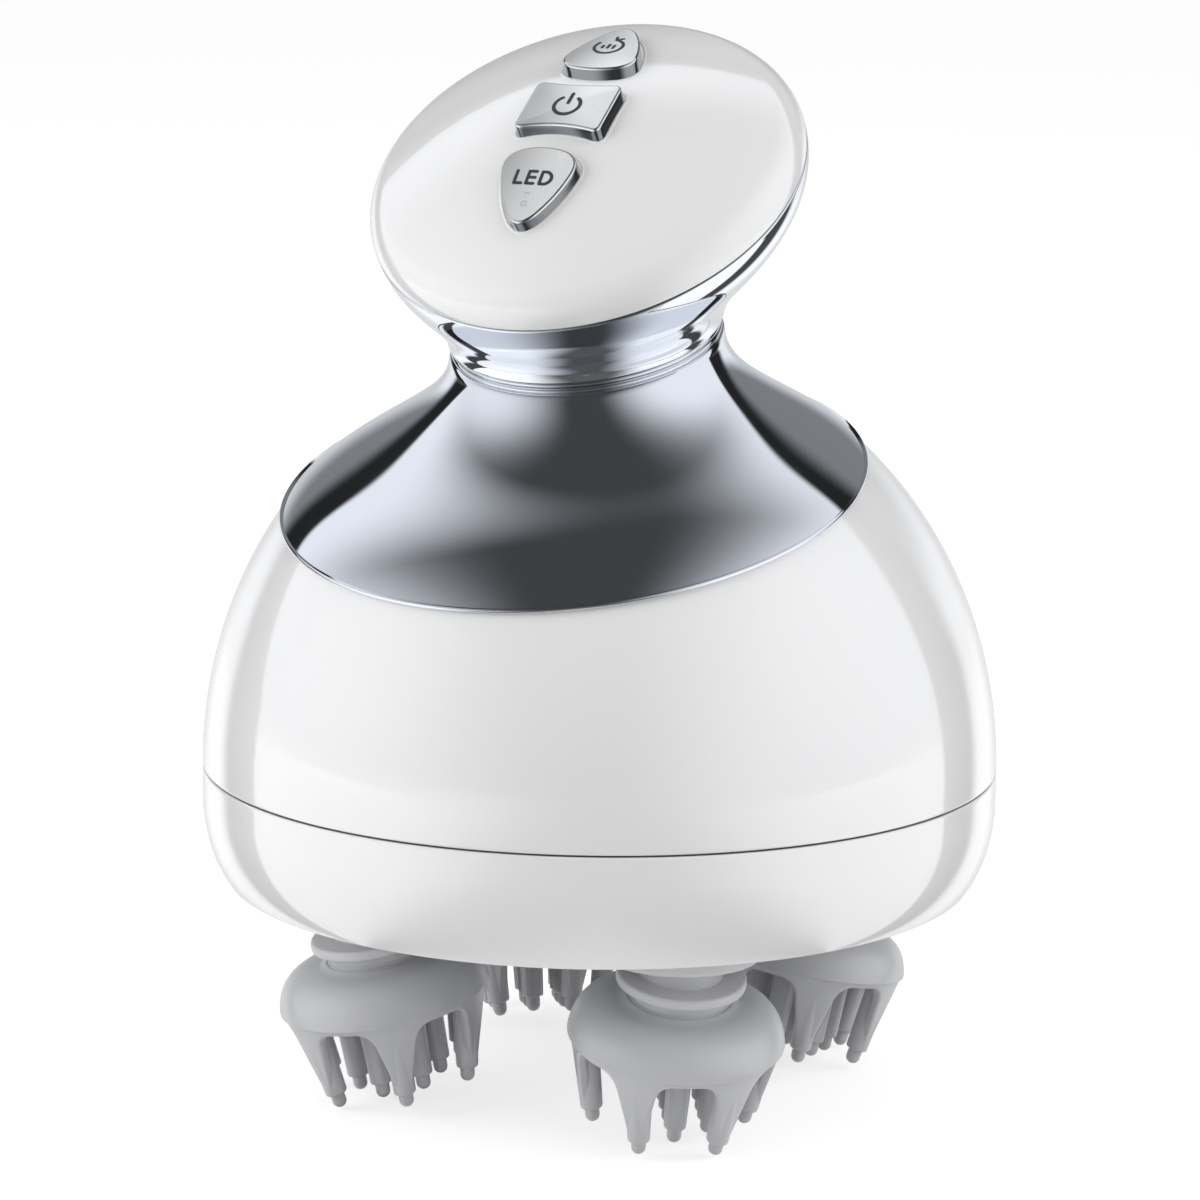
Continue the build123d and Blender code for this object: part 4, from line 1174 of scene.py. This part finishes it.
    def flange(self):
        """Turned flange with a rounded rim and a low step above the collar."""
        r, low, high = self.sizes.flange_radius, 0.9 * MM, 2.3 * MM
        step = low - 0.25 * MM
        return turned(eased([(0, step), (r - 2.3 * MM, step, 0.1 * MM), (r - 2.1 * MM, low, 0.2 * MM),
                             (r, low, 0.4 * MM), (r, high, 0.5 * MM), (0, high)]))


# ---------------------------------------------------------------- pieces kept from the frame
class MASSAGER_OT_inside(Operator):
    """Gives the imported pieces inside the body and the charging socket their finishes"""

    bl_idname = "massager.inside"
    bl_label = "Inner parts"

    def execute(self, context):
        slots = {"drive_frame": "inner_plastic", "gearhead": "dark_plastic", "motor_can": "steel",
                 "battery_tray": "inner_plastic", "battery_cell": "battery_wrap", "main_board": "board_green",
                 "charging_socket": "steel", "light_board": "board_green", "light_chips": "chip_clear",
                 "key_board": "board_green", "tact_switches": "dark_plastic", "sun_gear": "gear_plastic",
                 "drive_shaft": "steel"}
        slots.update({f"crank_gear_{k}": "gear_plastic" for k in range(1, 5)})
        for name, obj in frame["nodes"].items():
            if obj.hide_render:
                continue
            if name not in slots:
                raise RuntimeError(f"no finish for {name}")
            obj.data.materials.clear()
            obj.data.materials.append(finish_of(slots[name]))
        return {"FINISHED"}


# ---------------------------------------------------------------- stage
KNOB_PIECES = ("chrome_bowl", "cap", "led_", "power_", "mode_", "key_board", "tact_switches")


def maths(tree, operation, *values):
    """Result of a sum of numbers and other nodes' outputs."""
    return add(tree, "Math", enumerate(values), operation=operation).outputs[0]


def along(tree, vector, *axis):
    """Length of a vector along an axis."""
    return add(tree, "VectorMath", {0: vector, 1: axis}, operation="DOT_PRODUCT").outputs["Value"]


def blended(tree, share_of, low, high):
    """Value that goes from low to high with the share."""
    rest = maths(tree, "SUBTRACT", 1.0, share_of)
    return maths(tree, "ADD", maths(tree, "MULTIPLY", rest, low), maths(tree, "MULTIPLY", share_of, high))


def choose(tree, factor, low, high):
    """Shader that is low where the factor is 0 and high where it is 1."""
    return add(tree, "MixShader", {0: factor, 1: low, 2: high}).outputs[0]


def light(tree, kind, strength, tint=WHITE):
    """Shader of a kind that gives light, Emission or Background."""
    return add(tree, kind, {"Color": tint, "Strength": strength}).outputs[0]


def camera_axes(azimuth):
    """Level directions to the camera's right and towards the camera."""
    c, s = np.cos(azimuth), np.sin(azimuth)
    return (c, s, 0.0), (s, -c, 0.0)


def studio_pattern(tree, side, ahead, up):
    """Brightness of the room along a direction, given by its parts to the camera's right, towards the camera
    and up. Two wide soft boxes stand left and right of the camera and fade to a dark gap between them, which
    is paler behind. They end on a line towards the back; then comes a dark strip, and behind it the pale
    wall, darker above."""
    off_middle = maths(tree, "ABSOLUTE", maths(tree, "ADD", side, GAP_ASIDE))
    box = blended(tree, ramp(tree, off_middle, *GAP_SIDES), ramp(tree, ahead, *GAP_DEPTH), 1.0)
    lean, turn = BOX_LEAN
    slant = maths(tree, "SUBTRACT", lean, maths(tree, "MULTIPLY", side, turn))
    reach = maths(tree, "ADD", ahead, maths(tree, "MULTIPLY", up, slant))
    depth = maths(tree, "SUBTRACT", reach, maths(tree, "MULTIPLY", up, STRIP_LEAN))
    wall = blended(tree, ramp(tree, up, *WALL_RISE), ramp(tree, ahead, *WALL_DEPTH), WALL_TOP)
    outside = blended(tree, ramp(tree, depth, *STRIP_END), STRIP_LEVEL, wall)
    return blended(tree, ramp(tree, reach, *BOX_END), outside, box)


class MASSAGER_OT_stage(Operator):
    """Sets the camera, the pale floor, the lamps and the world"""

    bl_idname = "massager.stage"
    bl_label = "Stage"

    def execute(self, context):
        studio = context.scene.massager_studio
        self.camera(context, studio)
        self.floor(context, studio)
        self.lamps(context, studio)
        self.world(context, studio)
        context.scene.view_settings.view_transform = "Standard"
        return {"FINISHED"}

    def camera(self, context, studio):
        """Camera at its azimuth and elevation about the seam's middle, turned so that this point falls on the
        aim pixel, then rolled about its line of sight."""
        half, el = studio.frame_pixels / 2, studio.elevation
        place = studio.distance * np.array([0, -np.cos(el), np.sin(el)])
        ahead = -place / np.linalg.norm(place)
        right = np.cross(ahead, [0, 0, 1.0])
        right /= np.linalg.norm(right)
        axes = np.array([right, np.cross(right, ahead), ahead])
        aim = np.array([(studio.aim_x - half) / studio.focal, (half - studio.aim_y) / studio.focal, 1.0])
        aim /= np.linalg.norm(aim)
        swing = np.array(Vector((0, 0, 1)).rotation_difference(Vector(aim)).to_matrix())
        roll = np.array(Matrix.Rotation(studio.roll, 3, "Z"))
        axes = swing @ roll @ axes
        turn = np.array(Matrix.Rotation(studio.azimuth, 3, "Z"))
        right, up, ahead = (turn @ axis for axis in axes)
        matrix = np.eye(4)
        matrix[:3, :3] = np.stack([right, up, -ahead], 1)
        matrix[:3, 3] = turn @ place + np.array([0, 0, SEAM])
        data = bpy.data.cameras.new("camera")
        data.sensor_width = 36.0
        data.lens = studio.focal / studio.frame_pixels * data.sensor_width
        data.clip_start, data.clip_end = 0.05, 50.0
        camera = bpy.data.objects.new("camera", data)
        context.scene.collection.objects.link(camera)
        camera.matrix_world = Matrix(matrix.tolist())
        context.scene.camera = camera

    def floor(self, context, studio):
        """Level floor that shows near white to the camera and in reflections, and keeps the shadows. In gloss
        it carries on the dark strips of the room, by the direction of the place from the body's flank."""
        tree, bsdf = shader("floor")
        feed(tree, bsdf, {"Base Color": (0.80, 0.80, 0.80, 1), "Roughness": 0.9, "Specular IOR Level": 0.1})
        tone = add(tree, "BsdfDiffuse", {"Color": (0.50, 0.50, 0.50, 1)}).outputs[0]
        seen = add(tree, "AddShader", {0: light(tree, "Emission", 0.70), 1: tone}).outputs[0]
        place = object_place(tree)
        right, front = camera_axes(studio.azimuth)
        side = maths(tree, "ABSOLUTE", along(tree, place, *right))
        side = maths(tree, "SUBTRACT", side, 0.86 * BODY_RADIUS)
        ahead = maths(tree, "SUBTRACT", along(tree, place, *front), 0.5 * BODY_RADIUS)
        squares = [maths(tree, "MULTIPLY", part, part) for part in (side, ahead)]
        reach = maths(tree, "SQRT", maths(tree, "ADD", *squares))
        parts = [maths(tree, "DIVIDE", part, reach) for part in (side, ahead)]
        pattern = studio_pattern(tree, *parts, 0.0)
        path = add(tree, "LightPath").outputs
        dark = maths(tree, "MULTIPLY", path["Is Glossy Ray"], maths(tree, "SUBTRACT", 1.0, pattern))
        shown = choose(tree, dark, seen, light(tree, "Emission", 0.05))
        straight = maths(tree, "MAXIMUM", path["Is Camera Ray"], path["Is Glossy Ray"])
        straight = maths(tree, "MAXIMUM", straight, path["Is Transmission Ray"])
        top = choose(tree, straight, bsdf.outputs[0], shown)
        below = add(tree, "NewGeometry").outputs["Backfacing"]
        surface = choose(tree, below, top, add(tree, "BsdfTransparent").outputs[0])
        feed(tree, tree.nodes["Material Output"], {"Surface": surface})
        count = 9
        line = np.linspace(-studio.floor_size / 2, studio.floor_size / 2, count)
        x, y = (way.ravel() for way in np.meshgrid(line, line))
        mesh = bpy.data.meshes.new("floor")
        mesh.from_pydata(np.stack([x, y, 0 * x], 1).tolist(), [], quads_of(count, count).tolist())
        mesh.materials.append(finish_of("floor"))
        obj = bpy.data.objects.new("floor", mesh)
        context.scene.collection.objects.link(obj)
        obj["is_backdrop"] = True

    def lamps(self, context, studio):
        """Large soft lamps: (name, azimuth from the camera, elevation, distance, size, watts)."""
        rows = (("left_soft", -74.0, 26.0, 0.9, 0.8, 3.9), ("right_soft", 78.0, 26.0, 0.9, 0.8, 3.5),
                ("top_soft", 10.0, 80.0, 1.0, 0.9, 1.25), ("front_soft", -20.0, 14.0, 1.3, 0.7, 0.5),
                ("back_soft", 180.0, 40.0, 1.1, 0.8, 0.7))
        middle = Vector((0, 0, SEAM + 20 * MM))
        for name, azimuth, elevation, distance, size, watts in rows:
            a, e = np.radians(azimuth) + studio.azimuth, np.radians(elevation)
            way = Vector((np.sin(a) * np.cos(e), -np.cos(a) * np.cos(e), np.sin(e)))
            data = bpy.data.lights.new(name, "AREA")
            data.shape = "DISK"
            data.size = size
            data.energy = watts
            lamp = bpy.data.objects.new(name, data)
            context.scene.collection.objects.link(lamp)
            lamp.location = middle + distance * way
            lamp.rotation_euler = (middle - lamp.location).to_track_quat("-Z", "Y").to_euler()
            lamp.visible_glossy = False

    def world(self, context, studio):
        """The camera sees white; gloss sees the room's soft boxes and dark strips; all else an even sky."""
        world = bpy.data.worlds.new("studio")
        context.scene.world = world
        world.use_nodes = True
        tree = world.node_tree
        tree.nodes.clear()
        right, front = camera_axes(studio.azimuth)
        way = add(tree, "TexCoord").outputs["Generated"]
        up = maths(tree, "MAXIMUM", along(tree, way, 0, 0, 1), 0.0)
        level = studio_pattern(tree, along(tree, way, *right), along(tree, way, *front), up)
        gains = {"Red": 0.95, "Green": 0.975, "Blue": 1.02}
        channels = {channel: maths(tree, "MULTIPLY", level, gain) for channel, gain in gains.items()}
        room = light(tree, "Background", 1.0, add(tree, "CombineColor", channels).outputs["Color"])
        path = add(tree, "LightPath").outputs
        lit = choose(tree, path["Is Glossy Ray"], light(tree, "Background", 0.54), room)
        straight = maths(tree, "MAXIMUM", path["Is Camera Ray"], path["Is Transmission Ray"])
        seen = choose(tree, straight, lit, light(tree, "Background", 1.0))
        add(tree, "OutputWorld", {"Surface": seen})


# ---------------------------------------------------------------- add-on
class MASSAGER_PT_panel(Panel):
    bl_idname = "MASSAGER_PT_panel"
    bl_label = "Massager"
    bl_space_type = "VIEW_3D"
    bl_region_type = "UI"
    bl_category = "Massager"

    def draw(self, context):
        for operator in OPERATORS:
            self.layout.operator(operator.bl_idname)


OPERATORS = (MASSAGER_OT_stage, MASSAGER_OT_shells, MASSAGER_OT_base, MASSAGER_OT_neck, MASSAGER_OT_cap,
             MASSAGER_OT_keys, MASSAGER_OT_claws, MASSAGER_OT_inside)
GROUPS = {"massager_shells": ShellSizes, "massager_base": BaseSizes, "massager_neck": NeckSizes,
          "massager_knob": KnobSizes, "massager_keys": KeySizes, "massager_claws": ClawSizes,
          "massager_finishes": Finishes, "massager_studio": Studio}


def register():
    """Registers every class. A property's label is its own name in plain words."""
    for scene_name, group in GROUPS.items():
        for name, value in group.__annotations__.items():
            value.keywords["name"] = name.replace("_", " ").capitalize()
        bpy.utils.register_class(group)
        setattr(bpy.types.Scene, scene_name, PointerProperty(type=group))
    for operator in OPERATORS:
        bpy.utils.register_class(operator)
    bpy.utils.register_class(MASSAGER_PT_panel)


def unregister():
    bpy.utils.unregister_class(MASSAGER_PT_panel)
    for operator in reversed(OPERATORS):
        bpy.utils.unregister_class(operator)
    for name, group in GROUPS.items():
        delattr(bpy.types.Scene, name)
        bpy.utils.unregister_class(group)


def main():
    register()
    make_finishes(bpy.context.scene.massager_finishes)
    for operator in OPERATORS:
        group, name = operator.bl_idname.split(".")
        getattr(getattr(bpy.ops, group), name)()
    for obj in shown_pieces():
        if obj.name.startswith(KNOB_PIECES):  # the skirt mirrors the room alone
            obj.visible_glossy = False


if __name__ == "__main__":
    main()
